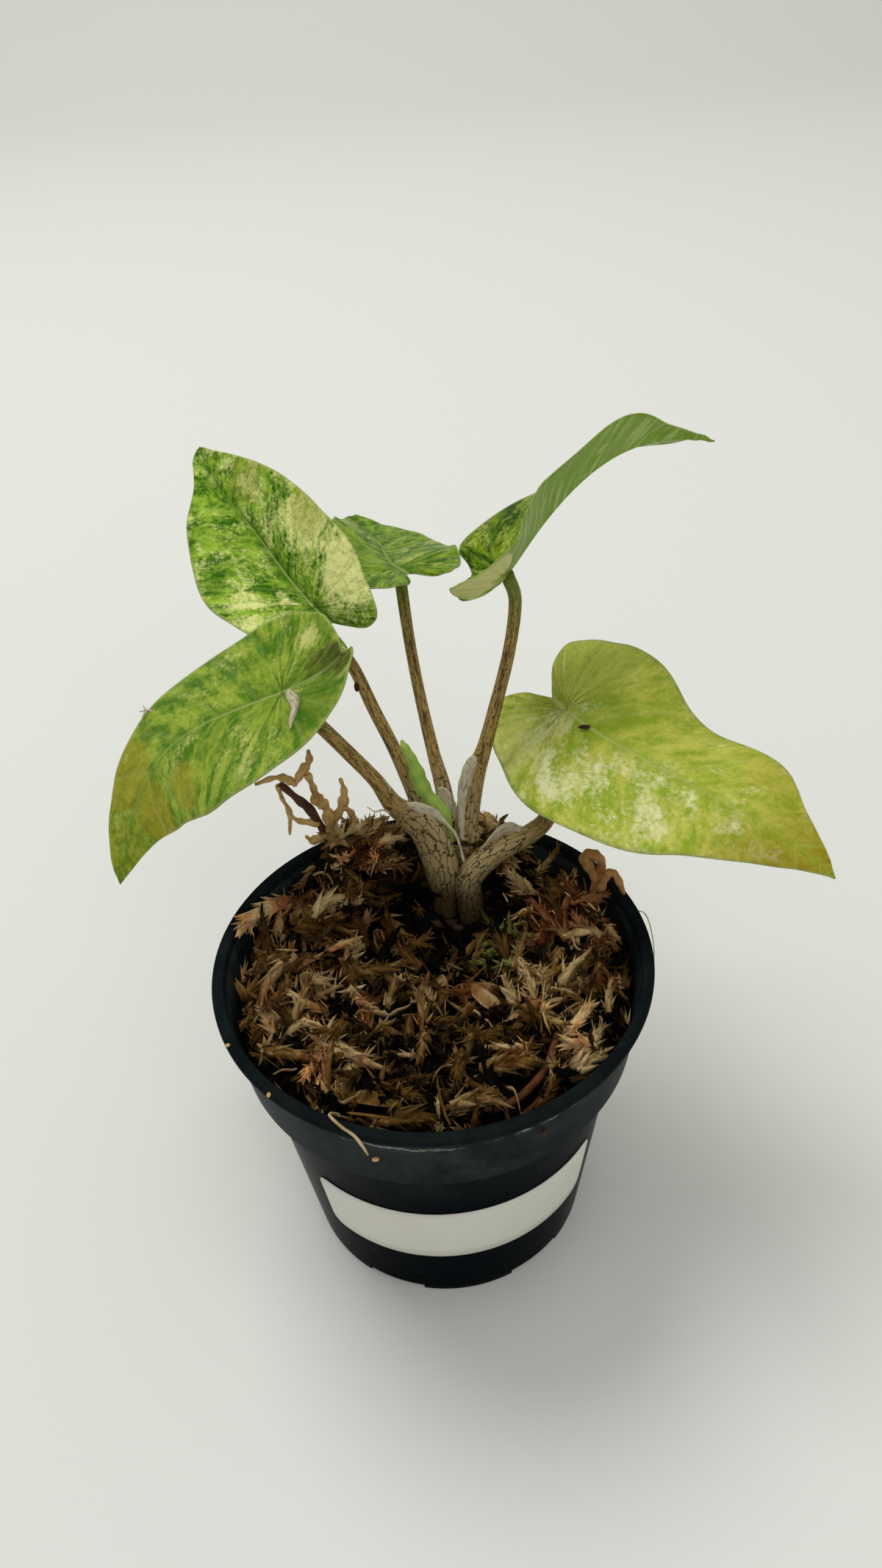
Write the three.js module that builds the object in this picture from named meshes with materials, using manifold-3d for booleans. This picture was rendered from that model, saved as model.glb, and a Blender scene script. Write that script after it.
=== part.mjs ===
// Potted variegated corazon alocasia: a young aroid with five leaves in a round nursery pot
import * as THREE from 'three';
import { mergeVertices } from 'three/addons/utils/BufferGeometryUtils.js';
import Module from 'manifold-3d';

const wasm = await Module();
wasm.setup();

// Driving dimensions in millimetres, origin on the table under the middle of the pot, front towards -Y
const GAP = 0.3;
const POT = {
  height: 73.4, wall: 1.2, floor: 3, baseRadius: 31.5, stepRadius: 38.5, stepHeight: 54.9,
  collarRadius: 41.3, lipHeight: 2, lipRadius: 45, sides: 60,
};
const NOTCH = { count: 6, width: 13, depth: 9, height: 1.8, firstAngle: -25, drainRadius: 2.2 };
const LABEL = { bottom: 17.8, top: 37.2, from: -48, to: 56, corner: 3, thickness: 0.4 };
const MOSS = { level: 66, sectors: 36, strands: 40, radius: 41.2 };
// Rises and hollows of the moss: [x, y, height, spread]
const MOUNDS = [[-17, 33, 7.5, 8], [-28, 12, 3, 10], [33, 15, 5, 8], [-20, -18, 2, 12], [18, -8, 1.5, 10],
  [1, 11, -6, 7], [20, 20, -2, 6]];
const CORM = { x: 6.5, y: 27.4, top: 60.5, bottom: 42, radius: 8.4, roots: 6, rootReach: 22 };
const BLADE = { thickness: 0.8, rib: 0.8, wave: 0.5, waves: 4, rowStep: 0.5 };
const BLADE_COLUMNS = [0, 0.07, 0.27, 0.5, 0.75, 1];
const PETIOLE_SIDES = 10;

// Colours and finishes
const FINISH = {
  pot: { color: 0x1d2429, roughness: 0.42, metalness: 0 },
  label: { color: 0xf1f1ee, roughness: 0.6, metalness: 0 },
  tan: { color: 0x8d6f4a, roughness: 0.95, metalness: 0 },
  olive: { color: 0x666238, roughness: 0.95, metalness: 0 },
  russet: { color: 0x7c4424, roughness: 0.95, metalness: 0 },
  stalk: { color: 0x3a1f16, roughness: 0.7, metalness: 0 },
  dry: { color: 0xb59468, roughness: 0.85, metalness: 0 },
  petiole: { color: 0xa79679, roughness: 0.6, metalness: 0 },
  leaf: { color: 0x7f9a45, roughness: 0.35, metalness: 0 },
  youngLeaf: { color: 0x93b45a, roughness: 0.4, metalness: 0 },
  corm: { color: 0x6d5138, roughness: 0.9, metalness: 0 },
};

// Leaves: place of the stalk's joint under the blade, blade length from there to the tip, and
// [turn, rise, roll] in degrees at five stations from the back lobes to the tip. Each half has its
// fold beside the midrib, its curl in degrees per 10 mm, and its edge in blade lengths (along, across)
const LEAVES = {
  a: {
    at: [-20.8, 69.7, 116.9], length: 61.9,
    posture: [[137, 9, -28], [124, 14, -30], [119, 19, -37], [122, 18, -37], [103, 21, -29]],
    left: {
      fold: [49, 30.5, 23], curl: [-2.7, -4.7],
      edge: [[1, 0], [0.94, 0.04], [0.8, 0.09], [0.63, 0.21], [0.42, 0.29], [0.2, 0.33],
        [-0.02, 0.32], [-0.2, 0.25], [-0.29, 0.16], [-0.26, 0.06], [-0.1, 0]],
    },
    right: {
      fold: [45, 32.5, 22], curl: [-2.4, -4.4],
      edge: [[1, 0], [0.94, 0.045], [0.81, 0.125], [0.62, 0.21], [0.42, 0.275], [0.2, 0.31],
        [-0.025, 0.305], [-0.185, 0.225], [-0.3, 0.155], [-0.27, 0.075], [-0.1, 0]],
    },
  },
  b: {
    at: [-26.2, 31.8, 119.2], length: 65.7,
    posture: [[182, -54, -12], [169, -26, -16], [173, -31, -18], [203, -60, -12], [240, -65, -18]],
    left: {
      fold: [17, -3.5, -7.5], curl: [-3.6, -5.8],
      edge: [[1, 0], [0.93, 0.04], [0.8, 0.11], [0.63, 0.23], [0.43, 0.3], [0.2, 0.33],
        [-0.02, 0.32], [-0.19, 0.245], [-0.3, 0.14], [-0.28, 0.025], [-0.1, 0]],
    },
    right: {
      fold: [15, -1, -4.5], curl: [-4, -5.3],
      edge: [[1, 0], [0.93, 0.04], [0.79, 0.12], [0.62, 0.2], [0.42, 0.285], [0.2, 0.32],
        [-0.01, 0.32], [-0.17, 0.24], [-0.25, 0.14], [-0.24, 0.03], [-0.1, 0]],
    },
  },
  c: {
    at: [-0.9, 82.3, 118.7], length: 55.4,
    posture: [[114, -9, 1], [107, -15, 2], [97, -12, 10], [107, -10, 20], [106, -6, 12]],
    left: {
      fold: [6.5, 16, 20], curl: [-4.4, -3.8],
      edge: [[1, 0], [0.93, 0.04], [0.8, 0.12], [0.62, 0.21], [0.42, 0.27], [0.2, 0.315],
        [-0.02, 0.31], [-0.2, 0.25], [-0.3, 0.155], [-0.26, 0.05], [-0.1, 0]],
    },
    right: {
      fold: [7.5, 14.5, 18], curl: [-4.8, -4.4],
      edge: [[1, 0], [0.94, 0.05], [0.81, 0.12], [0.62, 0.2], [0.42, 0.26], [0.21, 0.3],
        [-0.01, 0.27], [-0.19, 0.215], [-0.29, 0.14], [-0.26, 0.08], [-0.1, 0]],
    },
  },
  d: {
    at: [21.4, 50.9, 131.8], length: 55,
    posture: [[-56, 8, 12], [31, 37, 6], [17, 42, 8], [22, 9, -8], [-29, -4, -16]],
    left: {
      fold: [6, -19, -9], curl: [-8, -6],
      edge: [[1, 0], [0.93, 0.035], [0.8, 0.115], [0.62, 0.205], [0.42, 0.27], [0.2, 0.33],
        [-0.02, 0.34], [-0.22, 0.285], [-0.33, 0.18], [-0.24, 0.045], [-0.04, 0]],
    },
    right: {
      fold: [56, 66, 41], curl: [-3.7, -3.5],
      edge: [[1, 0], [0.93, 0.03], [0.8, 0.11], [0.63, 0.22], [0.42, 0.26], [0.2, 0.32],
        [-0.015, 0.31], [-0.135, 0.25], [-0.195, 0.14], [-0.175, 0.055], [-0.04, 0]],
    },
  },
  e: {
    at: [32.6, 39.6, 104.5], length: 70.1,
    posture: [[-79, 8, 30], [-69, 6, 27], [-46, -5, 8], [-52, -1, 13], [-66, -4, 18]],
    left: {
      fold: [-2.5, -3.7, -7], curl: [-4.2, -4.9],
      edge: [[1, 0], [0.93, 0.04], [0.8, 0.115], [0.64, 0.225], [0.44, 0.25], [0.21, 0.315],
        [-0.02, 0.31], [-0.2, 0.26], [-0.29, 0.17], [-0.25, 0.08], [-0.09, 0]],
    },
    right: {
      fold: [-8, -4.6, -7.6], curl: [-4.9, -5.3],
      edge: [[1, 0], [0.93, 0.04], [0.8, 0.11], [0.635, 0.2], [0.46, 0.285], [0.2, 0.31],
        [-0.015, 0.27], [-0.2, 0.235], [-0.29, 0.165], [-0.245, 0.065], [-0.09, 0]],
    },
  },
};

// Leaf stalks from the corm up: [x, y, z, half-width across, half-width in the plane of its lean].
// The last point of each is its seat under the blade, so it isn't listed
const STALKS = {
  a: {
    heading: 127,
    points: [[2, 30.4, 60.8, 2, 2], [1.8, 30.6, 67, 2.1, 2.2], [1, 33.4, 75.5, 2, 2.2],
      [-0.8, 38.2, 83.1, 1.7, 1.8], [-4.9, 45.7, 92.5, 1.5, 1.5], [-8.8, 52.1, 99.2, 1.45, 1.45],
      [-13, 59.7, 106.6, 1.4, 1.4], [-17.9, 66.2, 110.9, 1.4, 1.4]],
  },
  b: {
    heading: 152,
    points: [[4, 25.4, 60.8, 2.8, 2.8], [4, 25.6, 67, 3, 3.4], [3.7, 26.8, 74, 2.8, 3.9],
      [2, 28.8, 81, 2.4, 3.9], [-1.2, 30.5, 85.4, 2.1, 3.3], [-5.2, 31, 88.5, 1.8, 1.9],
      [-9.3, 31.2, 95.6, 1.65, 1.65], [-14.9, 31.7, 103.7, 1.55, 1.55], [-19.5, 31.4, 110.6, 1.5, 1.5],
      [-23.1, 30.4, 116, 1.6, 1.6]],
  },
  c: {
    heading: 100,
    points: [[7, 32.5, 60.8, 1.8, 1.8], [6.8, 32.8, 67, 2, 1.9], [6.3, 37.5, 75, 2.1, 1.8],
      [5.4, 43.3, 82.5, 1.9, 1.7],
      [3.7, 50.3, 88.4, 1.5, 1.5], [1.6, 60.2, 98.3, 1.35, 1.35], [0.2, 69.9, 107, 1.35, 1.35],
      [-0.6, 78.7, 114.6, 1.45, 1.45]],
  },
  d: {
    heading: 62,
    points: [[9.5, 28.1, 60.8, 2.6, 2.5], [9.3, 28.3, 67, 2.7, 2.5], [9.3, 31, 74.5, 2.7, 2.3],
      [10.2, 33.2, 82, 2.7, 2],
      [11.8, 35.2, 90.5, 2.6, 1.8], [14.6, 37.6, 96.8, 1.7, 1.6], [17.7, 40.9, 105.8, 1.45, 1.45],
      [21.2, 44.8, 117, 1.35, 1.35], [23, 48.6, 126.6, 1.4, 1.4]],
  },
  e: {
    heading: 28,
    points: [[9.6, 22.4, 60.9, 2.7, 2.7], [9.4, 22.5, 66, 2.9, 2.9], [9.3, 24, 71, 3, 3],
      [12.2, 25.6, 74.2, 2.9, 2.9],
      [15.8, 27.2, 76.2, 2.8, 2.9], [20, 28.9, 77.2, 2.5, 2.6], [24.3, 30.4, 78.2, 2.2, 2.2],
      [28.2, 32, 81.6, 1.9, 1.9], [31.2, 35.2, 91, 1.6, 1.6], [32.4, 38.2, 99.5, 1.5, 1.5]],
  },
};

// The rolled young leaf and the small things that lie on the moss: [x, y, z, radius]
const NEW_LEAF = [[6, 28.6, 67, 0.9], [5.8, 29.2, 76, 1.1], [4.7, 30.6, 84, 1.6], [2.1, 32.3, 88.1, 1.6],
  [0.3, 33.8, 91.9, 1.5], [-0.8, 35.2, 95.9, 1.2], [-2.3, 36.6, 99, 0.9], [-3.1, 38, 100.6, 0.3]];
const TUFT = [[-29.5, 24.5, 67.5, 0.8], [-33, 19.5, 72.5, 1.5], [-36.5, 14.5, 74.8, 1.8],
  [-39, 10.5, 75.6, 1.4], [-40.6, 7.2, 75.4, 0.4]];
const STALK = [[24.5, -15, 66, 0.5], [23, -19.8, 68.6, 0.6], [20.3, -26.2, 68.6, 0.6],
  [16.2, -30.9, 67.8, 0.6],
  [11.8, -33.3, 66.8, 0.6], [5, -34.3, 65.4, 0.6], [1, -33.5, 63.6, 0.4]];
const STRAY_ROOT = [[-19.4, -33, 67.5, 0.4], [-20.3, -36, 72, 0.4], [-20.3, -38.5, 74.6, 0.4],
  [-18.2, -41, 74.6, 0.4], [-16, -42.9, 74.4, 0.4], [-14.6, -44.2, 72.8, 0.4], [-13.9, -44.5, 70.8, 0.25]];
const CURLED_ROOT = [
  [[35.5, 16, 68, 1.1], [36.7, 16.5, 74.8, 1.1], [35.2, 16.5, 78.4, 1.1], [33.9, 16.5, 81.4, 1.1],
    [34.6, 16.5, 82.9, 1.1], [36.3, 16.6, 82, 1], [37.5, 16.6, 80.2, 0.9], [37.2, 16.5, 77.6, 0.8]],
  [[35.6, 15.6, 67.5, 0.9], [36.9, 14.9, 73, 0.9], [37.7, 14, 77.4, 0.85], [38.5, 13.6, 79.6, 0.8],
    [39.6, 13.1, 79.9, 0.75], [40.8, 12.7, 77.3, 0.65], [41.7, 12.2, 74.6, 0.4]],
];
const DRY_SPRIG = [
  [[-19, 32.5, 69, 0.9], [-21.3, 35.4, 76, 1.1], [-24.6, 36.9, 83.9, 1], [-27, 37.3, 87, 1],
    [-30.6, 38, 91.3, 0.7]],
  [[-27.3, 38, 90.6, 0.7], [-28.9, 37.9, 92.5, 0.8], [-31.6, 37.8, 93.2, 0.7], [-35.9, 37.5, 92, 0.3]],
  [[-27.3, 38, 90.6, 0.6], [-25.5, 38.2, 94, 0.8], [-23.6, 38.3, 96.5, 0.9], [-23.4, 38.5, 99.4, 0.3]],
  [[-24.3, 38, 93.4, 0.6], [-23.4, 37.6, 89.9, 0.8], [-22.8, 37.2, 86.7, 1.1], [-21.2, 36.8, 84.7, 1.3],
    [-20.4, 36, 80.5, 1.2], [-20.2, 35, 75.4, 1], [-18.6, 32.6, 69.5, 0.9]],
  [[-17.2, 37.5, 91.8, 0.3], [-16.7, 37.2, 88.6, 0.8], [-17.4, 36.8, 85.1, 0.9], [-19.6, 36.2, 81, 1]],
  [[-17.3, 36.8, 84.6, 0.7], [-15.7, 36.7, 82.5, 0.8], [-15.4, 36.4, 79.5, 0.9], [-16.2, 36, 76.8, 0.9],
    [-19, 35.8, 76.4, 0.9], [-21.9, 36, 76.8, 1], [-25.1, 36.1, 76, 0.8], [-26.5, 36, 77.4, 0.3]],
  [[-31, 38, 91, 0.5], [-30.7, 37.9, 87.5, 0.5], [-29.5, 37.7, 83.2, 0.5], [-30.2, 37.5, 77, 0.3]],
  [[-29.6, 37.6, 82.4, 0.5], [-27.1, 37.1, 80.9, 0.7], [-22.8, 36.4, 80.8, 0.8]],
];
const CLUMPS = {
  olive: { x: 18, y: 1, radius: 8, strands: 11, seed: 11 },
  russet: { x: 29, y: 12, radius: 6.5, strands: 10, seed: 23 },
};

const rad = THREE.MathUtils.degToRad;
const { clamp, lerp } = THREE.MathUtils;

// A smooth curve through evenly numbered rows of numbers: u runs from 0 to the last row
function smooth(rows, u) {
  const last = rows.length - 1;
  const place = clamp(u, 0, last);
  const first = Math.min(Math.floor(place), last - 1);
  const f = place - first;
  const row = (k) => {
    if (k < 0) return rows[0].map((v, c) => 2 * v - rows[1][c]);
    if (k > last) return rows[last].map((v, c) => 2 * v - rows[last - 1][c]);
    return rows[k];
  };
  const [a, b, c, d] = [row(first - 1), row(first), row(first + 1), row(first + 2)];
  return b.map((v, k) => 0.5 * (2 * v + (c[k] - a[k]) * f
    + (2 * a[k] - 5 * v + 4 * c[k] - d[k]) * f * f
    + (3 * v - a[k] - 3 * c[k] + d[k]) * f ** 3));
}

// Straight-line value between rows of [place, value]
function ramp(rows, x) {
  const next = Math.max(1, rows.findIndex(([place]) => place >= x));
  const k = x > rows[rows.length - 1][0] ? rows.length - 1 : next;
  const [x0, y0] = rows[k - 1];
  const [x1, y1] = rows[k];
  return lerp(y0, y1, clamp((x - x0) / (x1 - x0), 0, 1));
}

// Repeatable random numbers from 0 to 1
function dice(seed) {
  let state = seed;
  return () => {
    state = (state * 1664525 + 1013904223) % 4294967296;
    return state / 4294967296;
  };
}

// A closed geometry: shared corners merged, flat triangles dropped, faces turned outward
function closed(geometry) {
  const bare = geometry.clone();
  bare.deleteAttribute('normal');
  bare.deleteAttribute('uv');
  const merged = mergeVertices(bare, 1e-4);
  const at = (k) => new THREE.Vector3().fromBufferAttribute(merged.attributes.position, k);
  const kept = [];
  let volume = 0;
  for (let k = 0; k < merged.index.count; k += 3) {
    const [a, b, c] = [0, 1, 2].map((j) => merged.index.getX(k + j));
    if (a === b || b === c || c === a) continue;
    kept.push(a, b, c);
    volume += at(a).dot(at(b).cross(at(c)));
  }
  if (volume < 0) kept.reverse();
  merged.setIndex(kept);
  return merged;
}

function solid(geometry) {
  const shape = closed(geometry);
  return new wasm.Manifold(new wasm.Mesh({
    numProp: 3,
    vertProperties: new Float32Array(shape.attributes.position.array),
    triVerts: new Uint32Array(shape.index.array),
  }));
}

function union(solids) {
  return solids.reduce((sum, next) => sum.add(next));
}

// Back to a geometry, keeping the largest connected body so that no loose scrap is left
function largestBody(manifold) {
  const mesh = manifold.getMesh();
  const owner = Array.from({ length: mesh.vertProperties.length / 3 }, (_, k) => k);
  const root = (k) => {
    let top = k;
    while (owner[top] !== top) top = owner[top];
    return top;
  };
  for (let k = 0; k < mesh.triVerts.length; k += 3) {
    const [a, b, c] = [0, 1, 2].map((j) => root(mesh.triVerts[k + j]));
    owner[b] = a;
    owner[root(c)] = a;
  }
  const bodies = new Map();
  for (let k = 0; k < mesh.triVerts.length; k += 3) {
    const body = root(mesh.triVerts[k]);
    if (!bodies.has(body)) bodies.set(body, []);
    bodies.get(body).push(...mesh.triVerts.slice(k, k + 3));
  }
  const largest = [...bodies.values()].sort((a, b) => b.length - a.length)[0];
  const geometry = new THREE.BufferGeometry();
  geometry.setAttribute('position', new THREE.Float32BufferAttribute(mesh.vertProperties, 3));
  geometry.setIndex(largest);
  return closed(geometry.toNonIndexed());
}

// A closed skin over rings of points that run anticlockwise about the direction of travel
function skin(rings) {
  const count = rings[0].length;
  const middle = (ring) => ring.reduce((sum, p) => sum.add(p), new THREE.Vector3()).divideScalar(count);
  const points = [...rings.flat(), middle(rings[0]), middle(rings[rings.length - 1])];
  const index = [];
  const [startMiddle, endMiddle] = [points.length - 2, points.length - 1];
  const lastRing = (rings.length - 1) * count;
  for (let i = 0; i < count; i++) {
    const next = (i + 1) % count;
    for (let base = 0; base < lastRing; base += count) {
      index.push(base + i, base + next, base + count + next);
      index.push(base + i, base + count + next, base + count + i);
    }
    index.push(startMiddle, next, i);
    index.push(endMiddle, lastRing + i, lastRing + next);
  }
  const geometry = new THREE.BufferGeometry().setFromPoints(points);
  geometry.setIndex(index);
  return closed(geometry.toNonIndexed());
}

// An elliptical ring about a centre, square to the direction of travel
function ellipse(centre, travel, acrossHint, halfAcross, halfDeep, sides) {
  const across = acrossHint.clone().addScaledVector(travel, -acrossHint.dot(travel)).normalize();
  const deep = travel.clone().cross(across);
  return Array.from({ length: sides }, (_, i) => {
    const angle = (2 * Math.PI * i) / sides;
    return centre.clone().addScaledVector(across, halfAcross * Math.cos(angle))
      .addScaledVector(deep, halfDeep * Math.sin(angle));
  });
}

// A tapering round stem through [x, y, z, radius] points
function stem(rows, sides, step = 0.5, grow = 0) {
  const rings = [];
  const hint = new THREE.Vector3(0.31, -0.87, 0.38);
  for (let u = 0; u <= rows.length - 1 + 1e-9; u += step) {
    const [x, y, z, radius] = smooth(rows, u);
    const [ahead, behind] = [smooth(rows, u + 0.05), smooth(rows, u - 0.05)];
    const travel = new THREE.Vector3(...ahead).sub(new THREE.Vector3(...behind)).normalize();
    const beyond = u === 0 ? -grow : u > rows.length - 1 - 1e-6 ? grow : 0;
    const centre = new THREE.Vector3(x, y, z).addScaledVector(travel, beyond);
    rings.push(ellipse(centre, travel, hint, radius + grow, radius + grow, sides));
  }
  return skin(rings);
}

// The pot: turned shell with lip, collar and step, drain notches round its base
function potWall(z) {
  return lerp(POT.baseRadius, POT.stepRadius, z / POT.stepHeight);
}

function potInside(z) {
  if (z < POT.stepHeight + POT.wall) return potWall(z) - POT.wall;
  const up = (z - POT.stepHeight) / (POT.height - POT.stepHeight);
  return lerp(POT.collarRadius, POT.lipRadius - 1.4, up) - POT.wall;
}

function pot() {
  const { height, wall, floor, baseRadius, stepRadius, stepHeight, collarRadius, lipHeight, lipRadius } = POT;
  const profile = [
    [0, 0], [baseRadius - 0.5, 0], [baseRadius, 0.6], [stepRadius, stepHeight],
    [collarRadius - 0.4, stepHeight], [collarRadius, stepHeight + 0.5],
    [lipRadius - 1.6, height - lipHeight], [lipRadius, height - lipHeight + 0.3],
    [lipRadius, height - 0.4], [lipRadius - 0.4, height], [lipRadius - 1.9, height],
    [potInside(height - 1), height - 1], [potInside(stepHeight + wall), stepHeight + wall],
    [potWall(stepHeight) - wall, stepHeight + wall - 0.2], [potWall(floor) - wall, floor], [0, floor],
  ];
  const shell = new THREE.LatheGeometry(profile.map(([r, z]) => new THREE.Vector2(r, z)), POT.sides);
  shell.rotateX(Math.PI / 2);
  let body = solid(shell);
  for (let k = 0; k < NOTCH.count; k++) {
    const angle = rad(NOTCH.firstAngle + (360 / NOTCH.count) * k);
    const notch = new THREE.BoxGeometry(NOTCH.width, NOTCH.depth, 2 * NOTCH.height);
    notch.translate(0, -baseRadius, 0);
    notch.rotateZ(angle);
    const drain = new THREE.CylinderGeometry(NOTCH.drainRadius, NOTCH.drainRadius, 4 * floor, 12);
    drain.rotateX(Math.PI / 2);
    drain.translate(0, -baseRadius + NOTCH.depth / 2 - NOTCH.drainRadius + 1.6, 0);
    drain.rotateZ(angle);
    body = body.subtract(solid(notch)).subtract(solid(drain));
  }
  return largestBody(body);
}

// The label: a thin rounded rectangle bent round the tapering wall
function label() {
  const { bottom, top, from, to, corner, thickness } = LABEL;
  const middleRadius = potWall((bottom + top) / 2);
  const length = rad(to - from) * middleRadius;
  const ends = [0, 0.2, 0.7, 1.6, corner];
  const steps = 18;
  const places = [...ends];
  for (let k = 1; k < steps; k++) places.push(corner + ((length - 2 * corner) * k) / steps);
  places.push(...ends.map((d) => length - d).reverse());
  const rings = places.map((place) => {
    const fromEnd = Math.min(place, length - place, corner);
    const drop = corner - Math.sqrt(corner ** 2 - (corner - fromEnd) ** 2);
    const angle = rad(from) + place / middleRadius;
    const [low, high] = [bottom + drop, top - drop];
    return [[low, 0], [high, 0], [high, thickness], [low, thickness]].map(([z, out]) => {
      const r = potWall(z) + GAP + out;
      return new THREE.Vector3(r * Math.sin(angle), -r * Math.cos(angle), z);
    });
  });
  return skin(rings);
}

// The top of the moss: a rough bed with mounds, a dark hollow in front of the crown and a low edge
function mossHeight(x, y) {
  const rough = 1.2 * Math.sin(0.42 * x + 1) * Math.cos(0.5 * y) + 0.8 * Math.sin(0.85 * x - 0.7 * y);
  const edge = 2.5 * clamp((Math.hypot(x, y) - 38) / 4.5, 0, 1);
  return MOUNDS.reduce((sum, [cx, cy, height, spread]) => (
    sum + height * Math.exp(-((x - cx) ** 2 + (y - cy) ** 2) / (2 * spread ** 2))
  ), MOSS.level + rough - edge);
}

function mossCore() {
  const ring = (radiusAt, heightAt) => Array.from({ length: MOSS.sectors }, (_, i) => {
    const angle = (2 * Math.PI * i) / MOSS.sectors;
    const r = radiusAt(angle);
    const [x, y] = [r * Math.cos(angle), r * Math.sin(angle)];
    return new THREE.Vector3(x, y, heightAt(x, y));
  });
  const low = POT.floor + GAP;
  const ledge = POT.stepHeight + POT.wall;
  const edgeRadius = potInside(ledge) - GAP;
  return skin([
    ring(() => potInside(low) - GAP, () => low),
    ring(() => potWall(ledge) - POT.wall - 2 * GAP, () => ledge + 0.1),
    ring(() => edgeRadius, () => ledge + GAP),
    ring(() => edgeRadius + 0.9, mossHeight),
    ...[37.5, 34, 30, 25.5, 21, 16, 11, 5.5].map((r) => ring(() => r, mossHeight)),
  ]);
}

// One moss strand: a plump pointed spindle that lies along the surface, its root sunk well in
function strand(x, y, heading, length, radius, rise, grow) {
  const rows = [];
  for (let k = 0; k <= 4; k++) {
    const f = k / 4;
    const px = x + length * f * Math.cos(heading + 0.5 * f);
    const py = y + length * f * Math.sin(heading + 0.5 * f);
    const lift = -1.2 + 4.2 * f - 1.8 * f * f + rise * f;
    const plump = radius * [0.8, 1, 1, 0.7, 0.15][k];
    rows.push([px, py, mossHeight(px, py) + lift, plump]);
  }
  return solid(stem(rows, 4, 1, grow));
}

function insideClump(x, y) {
  return Object.values(CLUMPS).some((c) => Math.hypot(x - c.x, y - c.y) < c.radius + 3);
}

// Strands over the whole bed, set out on a spiral with a seeded turn, length and thickness
function bedStrands() {
  const random = dice(5);
  const strands = [];
  for (let k = 0; k < MOSS.strands; k++) {
    const r = MOSS.radius * Math.sqrt((k + 0.5) / MOSS.strands);
    const angle = 2.39996 * k;
    const [x, y] = [r * Math.cos(angle), r * Math.sin(angle)];
    const heading = 2 * Math.PI * random();
    const length = 7 + 5 * random();
    const radius = 1 + 0.7 * random();
    const rise = 0.4 + 1.6 * random();
    const tip = Math.hypot(x + length * Math.cos(heading + 0.5), y + length * Math.sin(heading + 0.5));
    const nearCrown = Math.hypot(x - CORM.x, y - CORM.y) < 12;
    if (tip < 39.5 && r < 39.5 && !nearCrown && !insideClump(x, y)) {
      strands.push(strand(x, y, heading, length, radius, rise, 0));
    }
  }
  return strands;
}

// A clump of another colour: a low core with its own strands, which stand out of it all round
function clump({ x, y, radius, strands, seed }, grow = 0) {
  const random = dice(seed);
  const core = new THREE.SphereGeometry(1, 12, 8);
  core.scale(radius + grow, radius + grow, 2.6 + grow);
  core.translate(x, y, mossHeight(x, y) - 0.4);
  const pieces = [solid(core)];
  for (let k = 0; k < strands; k++) {
    const r = 0.8 * radius * Math.sqrt((k + 0.5) / strands);
    const angle = 2.39996 * k;
    const heading = angle + 1.6 * (random() - 0.5);
    const length = 5 + 3 * random();
    const thickness = 0.9 + 0.4 * random();
    const rise = 1.5 + 1.2 * random();
    const [px, py] = [x + r * Math.cos(angle), y + r * Math.sin(angle)];
    pieces.push(strand(px, py, heading, length, thickness, rise, grow));
  }
  return union(pieces);
}

// The corm with its roots, buried in the moss
function corm(grow = 0) {
  const { x, y, top, bottom, radius } = CORM;
  const profile = [[0, bottom], [3, bottom + 1], [5.5, bottom + 5], [radius - 1, bottom + 11],
    [radius, top - 3], [radius - 0.6, top], [0, top]];
  const points = profile.map(([r, z]) => {
    const wider = r > 0 ? r + grow : 0;
    return new THREE.Vector2(wider, z + (z < bottom + 2 ? -grow : 0) + (z === top ? grow : 0));
  });
  const body = new THREE.LatheGeometry(points, 12);
  body.rotateX(Math.PI / 2);
  body.translate(x, y, 0);
  const pieces = [solid(body)];
  for (let k = 0; k < CORM.roots; k++) {
    const angle = (2 * Math.PI * k) / CORM.roots;
    const root = [0, 0.25, 0.5, 0.75, 1].map((f) => {
      const sway = angle + 0.3 * Math.sin(5 * f + k);
      return [lerp(x, CORM.rootReach * Math.cos(sway), f), lerp(y, CORM.rootReach * Math.sin(sway), f),
        bottom + 8 - 30 * f ** 1.5, 1.1 - 0.6 * f];
    });
    pieces.push(solid(stem(root, 5, 1, grow)));
  }
  return union(pieces);
}

// The spine of a blade: places, side and up directions every hundredth of its length
const SPINE_STEPS = 146;
const SPINE_START = 40;

function spineOf(leaf) {
  const steps = [];
  for (let k = 0; k < SPINE_STEPS; k++) {
    const along = 0.01 * (k - SPINE_START);
    const [turn, rise, roll] = smooth(leaf.posture, 3 * along + 1).map(rad);
    const travel = new THREE.Vector3(
      Math.cos(rise) * Math.cos(turn),
      Math.cos(rise) * Math.sin(turn),
      Math.sin(rise),
    );
    const level = new THREE.Vector3(-Math.sin(turn), Math.cos(turn), 0);
    const over = travel.clone().cross(level);
    const side = level.clone().multiplyScalar(Math.cos(roll)).addScaledVector(over, Math.sin(roll));
    const up = over.clone().multiplyScalar(Math.cos(roll)).addScaledVector(level, -Math.sin(roll));
    steps.push({ travel, side, up, point: new THREE.Vector3() });
  }
  for (let k = 1; k < SPINE_STEPS; k++) {
    const stride = 0.005 * leaf.length;
    steps[k].point.copy(steps[k - 1].point).addScaledVector(steps[k - 1].travel, stride)
      .addScaledVector(steps[k].travel, stride);
  }
  const shift = new THREE.Vector3(...leaf.at).sub(steps[SPINE_START].point);
  steps.forEach((step) => step.point.add(shift));
  return (along) => {
    const place = clamp(along * 100 + SPINE_START, 0, SPINE_STEPS - 1.001);
    const k = Math.floor(place);
    const mix = (name) => steps[k][name].clone().lerp(steps[k + 1][name], place - k);
    return { point: mix('point'), side: mix('side'), up: mix('up') };
  };
}

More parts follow.
